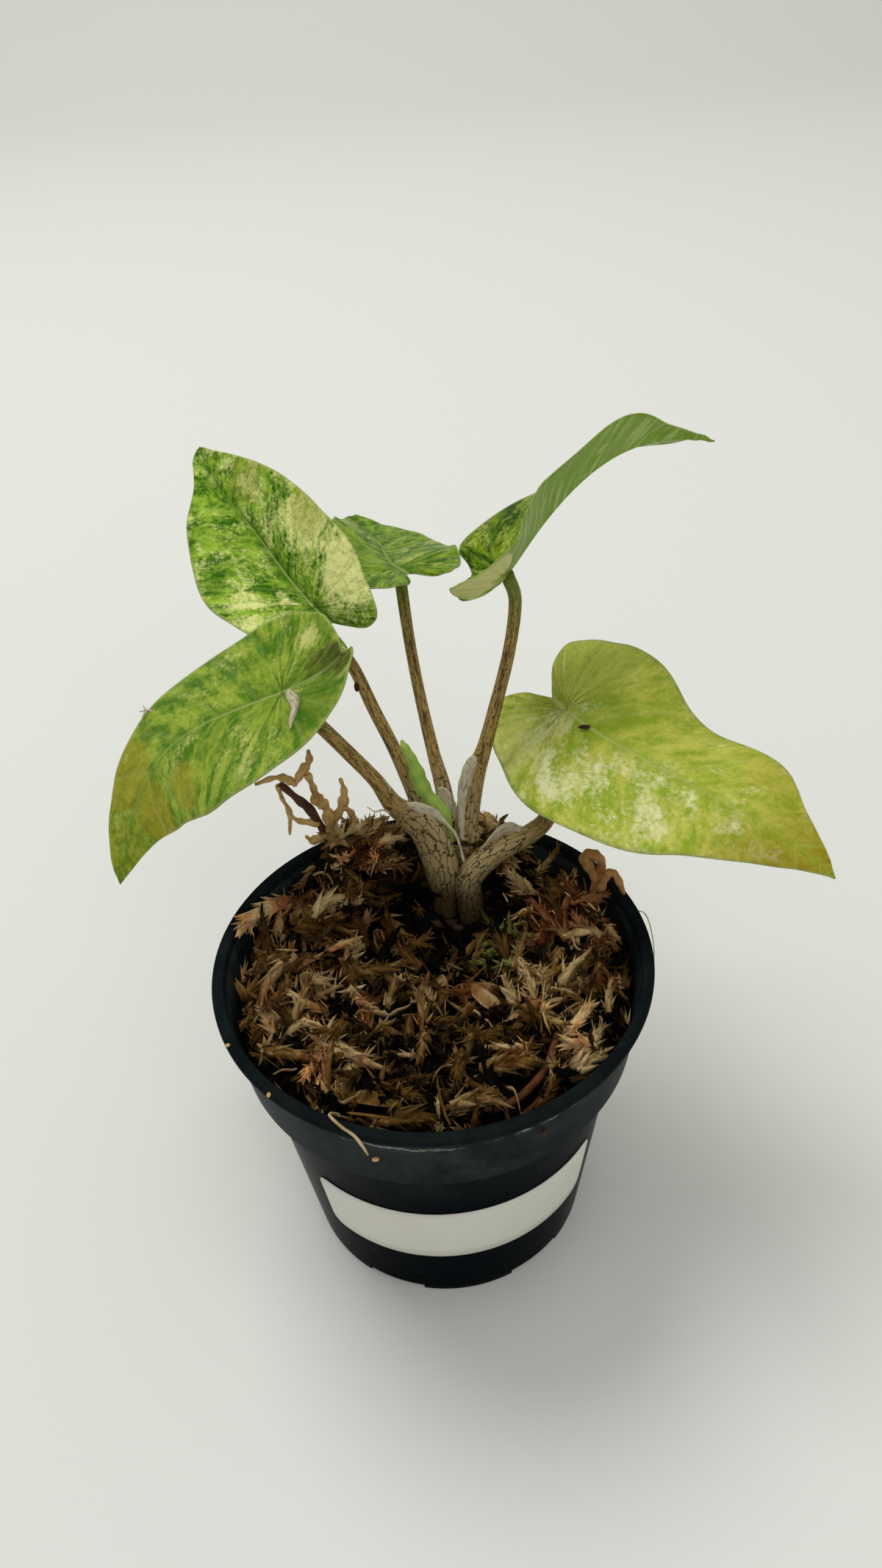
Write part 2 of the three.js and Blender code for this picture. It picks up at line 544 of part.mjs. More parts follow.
// A point of a blade: along and across in blade lengths, lifted off the middle surface in mm.
// Each half leaves the midrib at its fold and bends evenly away from there
function bladePoint(leaf, spine, along, across, lift) {
  const { point, side, up } = spine(along);
  const slopeAt = (half, reach) => {
    const fold = rad(ramp([[-1 / 3, half.fold[0]], [1 / 3, half.fold[1]], [1, half.fold[2]]], along));
    const bend = rad(ramp([[-1 / 3, half.curl[0]], [1, half.curl[1]]], along)) / 10;
    return { fold, bend, slope: fold + bend * reach };
  };
  if (across === 0) {
    const lean = (slopeAt(leaf.right, 0).slope - slopeAt(leaf.left, 0).slope) / 2;
    const open = (slopeAt(leaf.right, 0).slope + slopeAt(leaf.left, 0).slope) / 2;
    const reach = lift / Math.max(0.5, Math.cos(open));
    return point.addScaledVector(side, reach * Math.sin(lean)).addScaledVector(up, reach * Math.cos(lean));
  }
  const hand = Math.sign(across);
  const reach = Math.abs(across) * leaf.length;
  const { fold, bend, slope } = slopeAt(hand > 0 ? leaf.left : leaf.right, reach);
  const out = (Math.sin(slope) - Math.sin(fold)) / bend - lift * Math.sin(slope);
  const high = (Math.cos(fold) - Math.cos(slope)) / bend + lift * Math.cos(slope);
  return point.addScaledVector(side, hand * out).addScaledVector(up, high);
}

// One blade: rows follow the side veins from the midrib to the edge, back lobes fan from the joint
function blade(leaf) {
  const spine = spineOf(leaf);
  const rowCount = Math.round((leaf.left.edge.length - 1) / BLADE.rowStep);
  const roots = Array.from({ length: rowCount + 1 }, (_, k) => {
    const [left, right] = [leaf.left, leaf.right].map((half) => smooth(half.edge, k * BLADE.rowStep));
    return Math.max(0, (left[0] + right[0]) / 2 - 0.3 * (left[1] + right[1]));
  });
  const corners = [];
  for (const [half, hand] of [[leaf.left, 1], [leaf.right, -1]]) {
    const grid = (face) => roots.map((root, k) => {
      const [edgeAlong, edgeAcross] = smooth(half.edge, k * BLADE.rowStep);
      return BLADE_COLUMNS.map((f) => {
        const along = lerp(root, edgeAlong, f);
        const across = k === 0 || k === rowCount ? 0 : edgeAcross * f * hand;
        const wave = BLADE.wave * f ** 3 * Math.sin((2 * Math.PI * BLADE.waves * k) / rowCount);
        const rib = f === 0 && face < 0 ? BLADE.rib * (1 - root) : 0;
        return bladePoint(leaf, spine, along, across, (face * BLADE.thickness) / 2 - rib + wave);
      });
    });
    const [top, under] = [grid(1), grid(-1)];
    const quad = (a, b, c, d, flip) => corners.push(...(flip ? [a, c, b, a, d, c] : [a, b, c, a, c, d]));
    const edge = BLADE_COLUMNS.length - 1;
    for (let k = 0; k < rowCount; k++) {
      for (let j = 0; j < edge; j++) {
        quad(top[k][j], top[k][j + 1], top[k + 1][j + 1], top[k + 1][j], hand < 0);
        quad(under[k][j], under[k][j + 1], under[k + 1][j + 1], under[k + 1][j], hand > 0);
      }
      quad(top[k][edge], under[k][edge], under[k + 1][edge], top[k + 1][edge], hand < 0);
    }
  }
  return closed(new THREE.BufferGeometry().setFromPoints(corners));
}

// A leaf stalk: sheathing base, slim round stem, and a seat parallel to the blade just under it
function stalk(name, grow = 0) {
  const { heading, points } = STALKS[name];
  const leaf = LEAVES[name];
  const spine = spineOf(leaf);
  const { up } = spine(0);
  const seat = bladePoint(leaf, spine, 0, 0, -(BLADE.thickness / 2 + BLADE.rib)).addScaledVector(up, -GAP);
  const rows = [...points, [seat.x, seat.y, seat.z, 1.6, 1.6]];
  const across = new THREE.Vector3(-Math.sin(rad(heading)), Math.cos(rad(heading)), 0);
  const rings = [];
  for (let u = 0; u <= rows.length - 1 + 1e-9; u += 0.5) {
    const [x, y, z, halfAcross, halfDeep] = smooth(rows, u);
    const [ahead, behind] = [smooth(rows, u + 0.05), smooth(rows, u - 0.05)];
    const travel = new THREE.Vector3(...ahead.slice(0, 3)).sub(new THREE.Vector3(...behind.slice(0, 3)));
    const toSeat = clamp(u - (rows.length - 2), 0, 1);
    const square = travel.normalize().lerp(up, toSeat).normalize();
    const centre = new THREE.Vector3(x, y, z);
    rings.push(ellipse(centre, square, across, halfAcross + grow, halfDeep + grow, PETIOLE_SIDES));
  }
  return solid(skin(rings));
}

// Pieces that wrap or touch each other are cut back by the wider form of the piece they wrap
const stems = { d: stalk('d') };
stems.e = stalk('e').subtract(stalk('d', GAP));
const newLeaf = solid(stem(NEW_LEAF, 8, 0.5)).subtract(stalk('d', GAP));
const newLeafRoom = solid(stem(NEW_LEAF, 8, 0.5, GAP));
stems.b = stalk('b').subtract(union([stalk('d', GAP), stalk('e', GAP), newLeafRoom]));
stems.a = stalk('a').subtract(union([stalk('b', GAP), stalk('d', GAP), newLeafRoom]));
stems.c = stalk('c').subtract(union([stalk('a', GAP), stalk('b', GAP), stalk('d', GAP), newLeafRoom]));

// What lies on the moss, each piece with its colour. Later ones make room for earlier ones
function branches(lists, sides, step, grow) {
  return union(lists.map((rows) => solid(stem(rows, sides, step, grow))));
}

const ON_THE_MOSS = {
  moss_tuft: { shape: (grow) => branches([TUFT], 8, 0.5, grow), finish: 'dry' },
  moss_stalk: { shape: (grow) => branches([STALK], 6, 0.5, grow), finish: 'stalk' },
  stray_root: { shape: (grow) => branches([STRAY_ROOT], 5, 0.5, grow), finish: 'dry' },
  curled_root: { shape: (grow) => branches(CURLED_ROOT, 6, 0.5, grow), finish: 'dry' },
  dry_sprig: { shape: (grow) => branches(DRY_SPRIG, 6, 1, grow), finish: 'dry' },
  moss_olive: { shape: (grow) => clump(CLUMPS.olive, grow), finish: 'olive' },
  moss_russet: { shape: (grow) => clump(CLUMPS.russet, grow), finish: 'russet' },
};
const laid = {};
const room = [corm(GAP), ...Object.keys(STALKS).map((name) => stalk(name, GAP)), newLeafRoom];
for (const [name, { shape }] of Object.entries(ON_THE_MOSS)) {
  laid[name] = shape(0).subtract(union(room));
  room.push(shape(GAP));
}
const mossBed = union([solid(mossCore()), ...bedStrands()]).subtract(union(room));

// The object
const plant = new THREE.Group();

function place(name, geometry, finish) {
  const mesh = new THREE.Mesh(geometry, new THREE.MeshStandardMaterial(FINISH[finish]));
  mesh.name = name;
  plant.add(mesh);
}

place('pot', pot(), 'pot');
place('label', label(), 'label');
place('moss_bed', largestBody(mossBed), 'tan');
Object.entries(ON_THE_MOSS).forEach(([name, { finish }]) => place(name, largestBody(laid[name]), finish));
place('corm', largestBody(corm()), 'corm');
place('new_leaf', largestBody(newLeaf), 'youngLeaf');
for (const name of Object.keys(LEAVES)) {
  place(`petiole_${name}`, largestBody(stems[name]), 'petiole');
  place(`blade_${name}`, blade(LEAVES[name]), 'leaf');
}

export default plant;
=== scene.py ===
"""Potted variegated corazon alocasia: the looks of the part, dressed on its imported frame."""
import random
from functools import partial
from math import atan2, cos, exp, hypot, pi, radians, sin, sqrt, tau

import bmesh
import bpy
from mathutils import Matrix, Vector


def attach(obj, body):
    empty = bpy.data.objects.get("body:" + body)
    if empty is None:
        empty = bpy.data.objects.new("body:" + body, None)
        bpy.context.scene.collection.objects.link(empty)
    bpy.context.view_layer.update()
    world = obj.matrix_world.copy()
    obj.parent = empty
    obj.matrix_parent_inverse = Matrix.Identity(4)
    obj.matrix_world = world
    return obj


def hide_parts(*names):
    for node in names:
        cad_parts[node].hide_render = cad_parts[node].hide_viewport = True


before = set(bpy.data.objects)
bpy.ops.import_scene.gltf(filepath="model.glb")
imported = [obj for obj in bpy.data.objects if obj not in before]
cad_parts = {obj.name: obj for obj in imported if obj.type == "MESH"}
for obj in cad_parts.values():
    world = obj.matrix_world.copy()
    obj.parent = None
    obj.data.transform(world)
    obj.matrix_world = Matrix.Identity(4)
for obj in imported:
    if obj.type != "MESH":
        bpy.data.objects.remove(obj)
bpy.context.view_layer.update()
MM = 0.001

# The studio: the plant stands on a pale seamless sheet that sweeps up far behind it, under a large
# soft light from above and a weak fill from the camera's side
CAMERA_PLACE = (0, -168.85, 249.04)
CAMERA_PITCH, CAMERA_YAW, CAMERA_ROLL = 37.923, 1.345, -3.505
CAMERA_LENS = 27.04
SHEET = dict(half=3, front=-2.5, bend=1.6, radius=0.6, top=3, steps=12, colour="#F4F4EC")


def linear(colour):
    """An sRGB hex colour as linear values with full alpha"""
    parts = [int(colour[k:k + 2], 16) / 255 for k in (1, 3, 5)]
    return [*(c / 12.92 if c <= 0.04045 else ((c + 0.055) / 1.055) ** 2.4 for c in parts), 1.0]


def feed(tree, node, inputs):
    """Gives a node's inputs, by name or in the order it shows them, their values, hex colours or sockets"""
    shown = [socket for socket in node.inputs if socket.enabled]
    for key, source in inputs.items() if isinstance(inputs, dict) else enumerate(inputs):
        socket = shown[key] if isinstance(key, int) else node.inputs[key]
        if isinstance(source, bpy.types.NodeSocket):
            tree.links.new(source, socket)
        else:
            socket.default_value = linear(source) if isinstance(source, str) else source


def add_node(tree, kind, inputs=(), operation=None, out=None, **settings):
    """Adds a node with its settings and inputs, and gives the output asked for, else the first it shows"""
    node = tree.nodes.new("ShaderNode" + kind)
    if kind == "Mix":
        node.data_type = "RGBA"
    if operation:
        node.operation = operation
    for name, value in settings.items():
        setattr(node, name, value)
    feed(tree, node, inputs)
    return node.outputs[out] if out else next(socket for socket in node.outputs if socket.enabled)


def new_material(name):
    """An empty material: the call that adds a node to it, and the call that sets its surface and gives it"""
    material = bpy.data.materials.new(name)
    material.use_nodes = True
    tree = material.node_tree
    add = partial(add_node, tree)

    def surface(colour, roughness, relief=None, others=()):
        """The relief is a height with its strength and depth"""
        inputs = {"Base Color": colour, "Roughness": roughness, **dict(others)}
        if relief:
            inputs["Normal"] = add("Bump", dict(zip(("Height", "Strength", "Distance"), relief)))
        feed(tree, tree.nodes["Principled BSDF"], inputs)
        return material

    return add, surface


def put(name, data):
    """Puts a mesh, a light or a camera into the scene"""
    thing = bpy.data.objects.new(name, data)
    bpy.context.collection.objects.link(thing)
    return thing


def as_mesh(name, form):
    mesh = bpy.data.meshes.new(name)
    form.to_mesh(mesh)
    form.free()
    return mesh


def make_camera():
    pitch, yaw, roll = (radians(a) for a in (CAMERA_PITCH, CAMERA_YAW, CAMERA_ROLL))
    ahead = Vector((sin(yaw) * cos(pitch), cos(yaw) * cos(pitch), -sin(pitch)))
    level = ahead.cross(Vector((0, 0, 1))).normalized()
    upright = level.cross(ahead)
    right = level * cos(roll) + upright * sin(roll)
    up = upright * cos(roll) - level * sin(roll)
    data = bpy.data.cameras.new("camera")
    data.sensor_width = 36
    data.lens = CAMERA_LENS
    data.clip_start = 0.01
    camera = put("camera", data)
    turned = Matrix((right, up, -ahead)).transposed().to_4x4()
    camera.matrix_world = Matrix.Translation(Vector(CAMERA_PLACE) * MM) @ turned
    bpy.context.scene.camera = camera


def area_light(name, place, aim, size, power):
    data = bpy.data.lights.new(name, "AREA")
    data.shape = "DISK"
    data.size = size
    data.energy = power
    light = put(name, data)
    light.location = place
    light.rotation_euler = (Vector(aim) - Vector(place)).to_track_quat("-Z", "Y").to_euler()


def make_sheet():
    half, bend, radius, steps = (SHEET[name] for name in ("half", "bend", "radius", "steps"))
    profile = [(SHEET["front"], 0), (bend, 0)]
    for k in range(1, steps + 1):
        turn = radians(90 / steps * k)
        profile.append((bend + radius * sin(turn), radius - radius * cos(turn)))
    profile.append((bend + radius, SHEET["top"]))
    form = bmesh.new()
    edge = [form.verts.new((-half, y, z)) for y, z in profile]
    lines = [form.edges.new(pair) for pair in zip(edge, edge[1:])]
    across = bmesh.ops.extrude_edge_only(form, edges=lines)["geom"]
    bmesh.ops.translate(form, verts=[g for g in across if isinstance(g, bmesh.types.BMVert)],
                        vec=(2 * half, 0, 0))
    bmesh.ops.recalc_face_normals(form, faces=form.faces)
    mesh = as_mesh("sheet", form)
    mesh.shade_smooth()
    add, surface = new_material("matt backdrop paper")
    mesh.materials.append(surface(SHEET["colour"], 0.9))
    put("sheet", mesh)


make_camera()
make_sheet()
area_light("soft_light_above", place=(-0.5, 0.7, 1.95), aim=(0, 0.02, 0.05), size=1.2, power=18)
area_light("fill_light_front", place=(0.5, -1.8, 1.7), aim=(0, 0, 0.05), size=1.5, power=8)
world = bpy.data.worlds.new("studio")
world.use_nodes = True
world.node_tree.nodes["Background"].inputs["Color"].default_value = linear("#E4E6E8")
world.node_tree.nodes["Background"].inputs["Strength"].default_value = 0.52
bpy.context.scene.world = world
bpy.context.scene.view_settings.view_transform = "Standard"

# The nursery pot: one thin injection-moulded polypropylene shell, black with a satin skin. A step
# and a wider collar let pots stack, a rolled lip stiffens the rim, six notches drain the base
POT = dict(height=73.4, wall=1.2, floor=3, base=31.5, step=38.5, step_height=54.9,
           collar=41.3, lip_height=2, lip=45, lip_under=1.6, lip_top=2.4, rounding=0.45, sides=144)
NOTCH = dict(count=6, width=13, depth=9, height=1.8, first=-25, drain=2.2, inward=1.6)
POT_SHARP = 38


def pot_wall(z):
    return POT["base"] + (POT["step"] - POT["base"]) * z / POT["step_height"]


def pot_inside(z):
    if z < POT["step_height"] + POT["wall"]:
        return pot_wall(z) - POT["wall"]
    up = (z - POT["step_height"]) / (POT["height"] - POT["step_height"])
    return POT["collar"] + (POT["lip"] - 1.4 - POT["collar"]) * up - POT["wall"]


def finish(name, form, materials, slot, stands_for=(), sharp=None, smooth=True, **numbers):
    """Turns a form in millimetres into a piece that rides on the object, with numbers for its materials"""
    bmesh.ops.scale(form, vec=(MM, MM, MM), verts=form.verts)
    mesh = as_mesh(name, form)
    if smooth:
        mesh.shade_smooth()
    if sharp:
        mesh.set_sharp_from_angle(angle=radians(sharp))
    for material in materials:
        mesh.materials.append(material)
    for number, values in numbers.items():
        mesh.attributes.new(number, "FLOAT", "POINT").data.foreach_set("value", values)
    piece = put(name, mesh)
    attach(piece, "root")
    if stands_for:
        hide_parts(*stands_for)
    return piece


def shape_with(piece, kind, **settings):
    """Shapes a piece with one modifier and bakes it into the mesh"""
    modifier = piece.modifiers.new("shape", kind)
    for name, value in settings.items():
        setattr(modifier, name, value)
    mesh = bpy.data.meshes.new_from_object(piece.evaluated_get(bpy.context.evaluated_depsgraph_get()))
    piece.modifiers.clear()
    piece.data = mesh


def moulded_plastic():
    """Satin black polypropylene: a soft wide sheen, dust on the upper wall and collar that also carries a
    painted sheen, lighter towards the top, and a dried tide line of chalky moss water under the lip"""
    add, surface = new_material("moulded black polypropylene")
    place = add("TexCoord", out="Object")
    parts = add("SeparateXYZ", (place,)).node.outputs
    haze = add("TexNoise", (place, 90, 6, 0.65))
    specks = add("TexNoise", (place, 900, 3, 0.6))
    collar = add("MapRange", (parts["Z"], 0.04, 0.0705))
    dust = add("MapRange", (haze, 0.42, 0.75, 0.25, 1.0))
    dust_and_sheen = add("Math", (collar, dust), "MULTIPLY")
    line_wave = add("TexNoise", (place, 260, 5, 0.7))
    line_low = add("Math", (line_wave, 0.0036, 0.0666), "MULTIPLY_ADD")
    line_gap = add("Math", (parts["Z"], line_low), "SUBTRACT")
    line_size = add("Math", (line_gap,), "ABSOLUTE")
    line = add("MapRange", (line_size, 0.0001, 0.00042, 1, 0))
    patchy = add("MapRange", (haze, 0.45, 0.56))
    front = add("MapRange", (parts["Y"], -0.02, -0.035))
    tide = add("Math", (line, patchy), "MULTIPLY")
    tide_front = add("Math", (tide, front), "MULTIPLY")
    fleck = add("MapRange", (specks, 0.7, 0.74))
    faint = add("Math", (fleck, 0.35), "MULTIPLY")
    # Dust and painted sheen: the upper wall and collar are painted lighter grey towards the top
    skin = add("Mix", (dust_and_sheen, "#01060B", "#424A49"))
    flecked = add("Mix", (faint, skin, "#6A6E6C"))
    lined = add("Mix", (tide_front, flecked, "#8E8E86"))
    on_lip = add("MapRange", (parts["Z"], 0.0712, 0.072, 0, 0.8))
    rubbed = add("Mix", (on_lip, lined, "#0D1214"))
    dull = add("MapRange", (dust_and_sheen, 0, 1, 0.26, 0.5))
    return surface(rubbed, dull, (haze, 0.12, 0.0006), {"IOR": 1.49, "Specular IOR Level": 0.004})


def make_pot():
    height, wall, floor, step, lip = (POT[name] for name in ("height", "wall", "floor", "step_height", "lip"))
    under_lip, above_notch, ledge = height - POT["lip_height"], height / 30, step + wall
    profile = [(0, 0), (POT["base"], 0), (pot_wall(above_notch), above_notch), (POT["step"], step),
               (POT["collar"], step), (lip - POT["lip_under"], under_lip), (lip, under_lip + 0.3),
               (lip, height), (lip - POT["lip_top"], height), (pot_inside(ledge), ledge),
               (pot_wall(step) - wall, ledge - 0.2), (pot_wall(floor) - wall, floor), (0, floor)]
    form = bmesh.new()
    points = [form.verts.new((r, 0, z)) for r, z in profile]
    lines = [form.edges.new(pair) for pair in zip(points, points[1:])]
    bmesh.ops.spin(form, geom=points + lines, cent=(0, 0, 0), axis=(0, 0, 1), angle=tau,
                   steps=POT["sides"], use_merge=True)
    bmesh.ops.remove_doubles(form, verts=form.verts, dist=1e-4)
    bmesh.ops.recalc_face_normals(form, faces=form.faces)
    rounds = [e for e in form.edges if len(e.link_faces) == 2 and e.calc_face_angle() > radians(14)
              and abs(e.verts[0].co.z - e.verts[1].co.z) < 1e-3]
    bmesh.ops.bevel(form, geom=rounds, offset=POT["rounding"], affect="EDGES", segments=3, profile=0.5,
                    material=-1, clamp_overlap=True)
    pot = finish("nursery_pot", form, [moulded_plastic()], "pot_plastic", ["pot"], sharp=POT_SHARP)
    boxes, drains = bmesh.new(), bmesh.new()
    for k in range(NOTCH["count"]):
        turn = Matrix.Rotation(radians(NOTCH["first"] + 360 / NOTCH["count"] * k), 4, "Z")
        size = Matrix.Diagonal((NOTCH["width"], NOTCH["depth"], 2 * NOTCH["height"], 1))
        bmesh.ops.create_cube(boxes, size=1, matrix=turn @ Matrix.Translation((0, -POT["base"], 0)) @ size)
        hole = (0, -POT["base"] + NOTCH["depth"] / 2 - NOTCH["drain"] + NOTCH["inward"], 0)
        bmesh.ops.create_cone(drains, segments=24, radius1=NOTCH["drain"], radius2=NOTCH["drain"],
                              depth=4 * floor, cap_ends=True, matrix=turn @ Matrix.Translation(hole))
    for cutter_form in (boxes, drains):
        bmesh.ops.scale(cutter_form, vec=(MM, MM, MM), verts=cutter_form.verts)
        cutter = put("cutter", as_mesh("cutter", cutter_form))
        shape_with(pot, "BOOLEAN", operation="DIFFERENCE", solver="EXACT", object=cutter)
        bpy.data.objects.remove(cutter)
    pot.data.shade_smooth()
    pot.data.set_sharp_from_angle(angle=radians(POT_SHARP))


make_pot()

# The label: a blank rectangle of white self-adhesive paper with rounded corners, pressed flat onto
# the tapering wall by hand, level with the rim
LABEL = dict(bottom=17.8, top=37.2, start=-48, end=56, corner=3, paper=0.12, off_wall=0.05)


def label_paper():
    """Uncoated white paper: no gloss, a faint fibre grain and soft cloudy patches of a slightly darker tint
    """
    add, surface = new_material("white label paper")
    place = add("TexCoord", out="Object")
    fibre = add("TexNoise", (place, 1400, 4, 0.7))
    cloud = add("TexNoise", (place, 60, 3))
    tint = add("Mix", (cloud, "#D4D1C4", "#E2E0D4"))
    return surface(tint, 0.62, (fibre, 0.25, 0.00008))


def make_label():
    form = bmesh.new()
    columns, rows = 96, 6
    bmesh.ops.create_grid(form, x_segments=columns, y_segments=rows, size=1)
    middle = pot_wall((LABEL["bottom"] + LABEL["top"]) / 2)
    length = radians(LABEL["end"] - LABEL["start"]) * middle
    corner = LABEL["corner"]
    for vert in form.verts:
        share = (vert.co.x + 1) / 2
        spread = 0.5 - 0.5 * cos(pi * share)
        along = length * (0.35 * spread + 0.65 * share)
        from_end = min(along, length - along, corner)
        drop = corner - sqrt(corner ** 2 - (corner - from_end) ** 2)
        low, high = LABEL["bottom"] + drop, LABEL["top"] - drop
        z = low + (high - low) * (vert.co.y + 1) / 2
        turn = radians(LABEL["start"]) + along / middle
        r = pot_wall(z) + LABEL["off_wall"]
        vert.co = (r * sin(turn), -r * cos(turn), z)
    bmesh.ops.remove_doubles(form, verts=form.verts, dist=1e-4)
    bmesh.ops.recalc_face_normals(form, faces=form.faces)
    if sum(f.normal.dot(f.calc_center_median()) for f in form.faces) < 0:
        bmesh.ops.reverse_faces(form, faces=form.faces)
    label = finish("label_sticker", form, [label_paper()], "label_paper", ["label"])
    shape_with(label, "SOLIDIFY", thickness=LABEL["paper"] * MM, offset=1)


make_label()

# The moss bed: damp long-fibre sphagnum pressed in by hand, a matted core painted near-black as shade in the
# gaps under hundreds of loose sprigs that lie every way, each a thread with overlapping pointed leaves. It is
# tan, with a red-brown patch at the right, an olive one beside it and a hollow in front of the stalks in
# painted shade
MOSS_LEVEL, MOSS_EDGE = 66, 41
MOUNDS = ((-17, 33, 9, 8), (16, 35, 8, 5.5), (-28, 12, 3, 10), (33, 15, 5, 8), (-20, -18, 2, 12),
    (18, -8, 1.5, 10), (0, 15, -7, 8), (20, 20, -2, 6))
CROWN, CROWN_CLEAR = (6.5, 27.4), 7.5
GOLDEN_TURN = 2.39996
CORE_SIDES, CORE_RINGS = 120, 26
HOLLOWS = ((0, 17, 85, 1), (14, 22, 30, 0.8))
SPRIG_REACH = 8
PATCHES = {"olive": (17, 8, 9.5), "russet": (29, 12, 8)}


def smooth(rows, u):
    """A smooth curve through evenly numbered rows of numbers"""
    last = len(rows) - 1
    place = min(max(u, 0), last)
    first = min(int(place), last - 1)
    f = place - first

    def row(k):
        if k < 0:
            return [2 * p - q for p, q in zip(rows[0], rows[1])]
        if k > last:
            return [2 * p - q for p, q in zip(rows[last], rows[last - 1])]
        return rows[k]

    near = zip(row(first - 1), row(first), row(first + 1), row(first + 2))
    return [0.5 * (2 * b + (c - a) * f + (2 * a - 5 * b + 4 * c - d) * f * f
                   + (3 * b - a - 3 * c + d) * f ** 3) for a, b, c, d in near]


def moss_height(x, y):
    rough = 1.2 * sin(0.42 * x + 1) * cos(0.5 * y) + 0.8 * sin(0.85 * x - 0.7 * y)
    edge = 2.5 * min(max((hypot(x, y) - 38) / 4.5, 0), 1)
    return MOSS_LEVEL + rough - edge + sum(height * exp(-((x - cx) ** 2 + (y - cy) ** 2) / (2 * spread ** 2))
                                           for cx, cy, height, spread in MOUNDS)


def hollow_at(x, y):
    """How far a place lies in the hollow in front of the stalks, from 0 to 1"""
    return min(1, sum(depth * exp(-((x - cx) ** 2 + (y - cy) ** 2) / spread)
                      for cx, cy, spread, depth in HOLLOWS))


def dry_moss(name, dark, middle, light):
    """Dead sphagnum: dull papery leaves whose colour changes from sprig to sprig, darker low down in the
    bed as painted shade"""
    add, surface = new_material(name)
    place = add("TexCoord", out="Object")
    tone = add("Attribute", out="Fac", attribute_name="tone")
    mottle = add("TexNoise", (place, 420, 4, 0.7))
    cloud = add("TexNoise", (place, 75, 3))
    shift = add("Math", (mottle, 0.5, tone), "MULTIPLY_ADD")
    tone_here = add("Math", (cloud, 0.5, shift), "MULTIPLY_ADD")
    ramp = add("ValToRGB", (add("Math", (tone_here, 0.5), "SUBTRACT"),))
    stops = ramp.node.color_ramp.elements
    stops[0].color, stops[1].color = linear(dark), linear(light)
    stops[0].position, stops[1].position = 0.12, 0.95
    stops.new(0.5).color = linear(middle)
    patches = add("TexNoise", (place, 120, 3), out="Color")
    hues = add("SeparateColor", (patches,)).node.outputs
    colour = ramp
    for part, tint, most in ((hues[0], "#64602E", 0.45), (hues[2], "#865030", 0.6)):
        here = add("MapRange", (part, 0.5, 0.62, 0, most))
        colour = add("Mix", (here, colour, tint), blend_type="OVERLAY")
    return surface(colour, 0.82, (mottle, 0.6, 0.0004), {"Specular IOR Level": 0.08})


def leafy(form, spot, size):
    """One pointed, slightly flattened leaf along +Z of the given place"""
    shape = spot @ Matrix.Diagonal((0.34, 1, 1, 1)) @ Matrix.Translation((0, 0, 0.9 * size))
    bmesh.ops.create_cone(form, segments=4, radius1=0.46 * size, radius2=0, depth=1.9 * size, cap_ends=False,
                          matrix=shape)


def sprig_shape(seed, length, girth, leaves, splay=30):
    """One sprig along +X: a plump spindle of pressed leaves, with the tips of the upper ones free"""
    draw = random.Random(seed)
    form = bmesh.new()
    bmesh.ops.create_uvsphere(form, u_segments=7, v_segments=6, radius=1,
                              matrix=Matrix.Rotation(pi / 2, 4, "Y"))
    for vert in form.verts:
        share = (vert.co.x + 1) / 2
        thick = girth / 2 * (1.25 - 0.8 * share) * draw.uniform(0.85, 1.15)
        vert.co = (length * share, vert.co.y * thick, vert.co.z * thick)
    for k in range(leaves):
        f = (k + 0.5) / leaves
        size = girth * (0.7 - 0.25 * f) * draw.uniform(0.7, 1.35)
        spot = (Matrix.Translation((length * (0.02 + 0.84 * f), 0, 0))
                @ Matrix.Rotation(2.4 * k + draw.uniform(-0.5, 0.5), 4, "X")
                @ Matrix.Translation((0, 0, girth * 0.36 * (1.2 - 0.8 * f)))
                @ Matrix.Rotation(radians(90 - splay * draw.uniform(0.3, 1.6)), 4, "Y"))
        leafy(form, spot, size)
    for vert in form.verts:
        vert.co += Vector([draw.uniform(-0.16, 0.16) for axis in range(3)])
    return as_mesh("sprig", form)


def star_shape(seed, size, leaves):
    """A sprig's crown: a small star of broad pointed leaves that open from one point"""
    draw = random.Random(seed)
    form = bmesh.new()
    for k in range(leaves):
        spot = (Matrix.Rotation(2.4 * k, 4, "X") @ Matrix.Rotation(radians(draw.uniform(12, 78)), 4, "Y"))
        leafy(form, spot, size * draw.uniform(0.8, 1.3))
    return as_mesh("star", form)


def flake_shape(length, width):
    """A papery flake of old leaf along +X, cupped and drawn out to a point"""
    form = bmesh.new()
    bmesh.ops.create_uvsphere(form, u_segments=6, v_segments=6, radius=1,
                              matrix=Matrix.Rotation(pi / 2, 4, "Y"))
    for vert in form.verts:
        share = (vert.co.x + 1) / 2
        wide = vert.co.y * width / 2 * (1.3 - 0.9 * share)
        vert.co = (length * share, wide, 0.12 * vert.co.z + 0.3 * wide * wide)
    return as_mesh("flake", form)


def in_patch(x, y, name, wider=0.0):
    cx, cy, radius = PATCHES[name]
    return hypot(x - cx, y - cy) < radius + wider


def sprig_spots(count, seed, reach, keep):
    """Places on the bed on a spiral, each moved a little, that pass the test"""
    draw = random.Random(seed)
    for k in range(count):
        r = reach * sqrt((k + 0.5) / count)
        x = r * cos(GOLDEN_TURN * k) + draw.uniform(-1.2, 1.2)
        y = r * sin(GOLDEN_TURN * k) + draw.uniform(-1.2, 1.2)
        if keep(x, y) and hypot(x - CROWN[0], y - CROWN[1]) > CROWN_CLEAR:
            yield x, y, draw


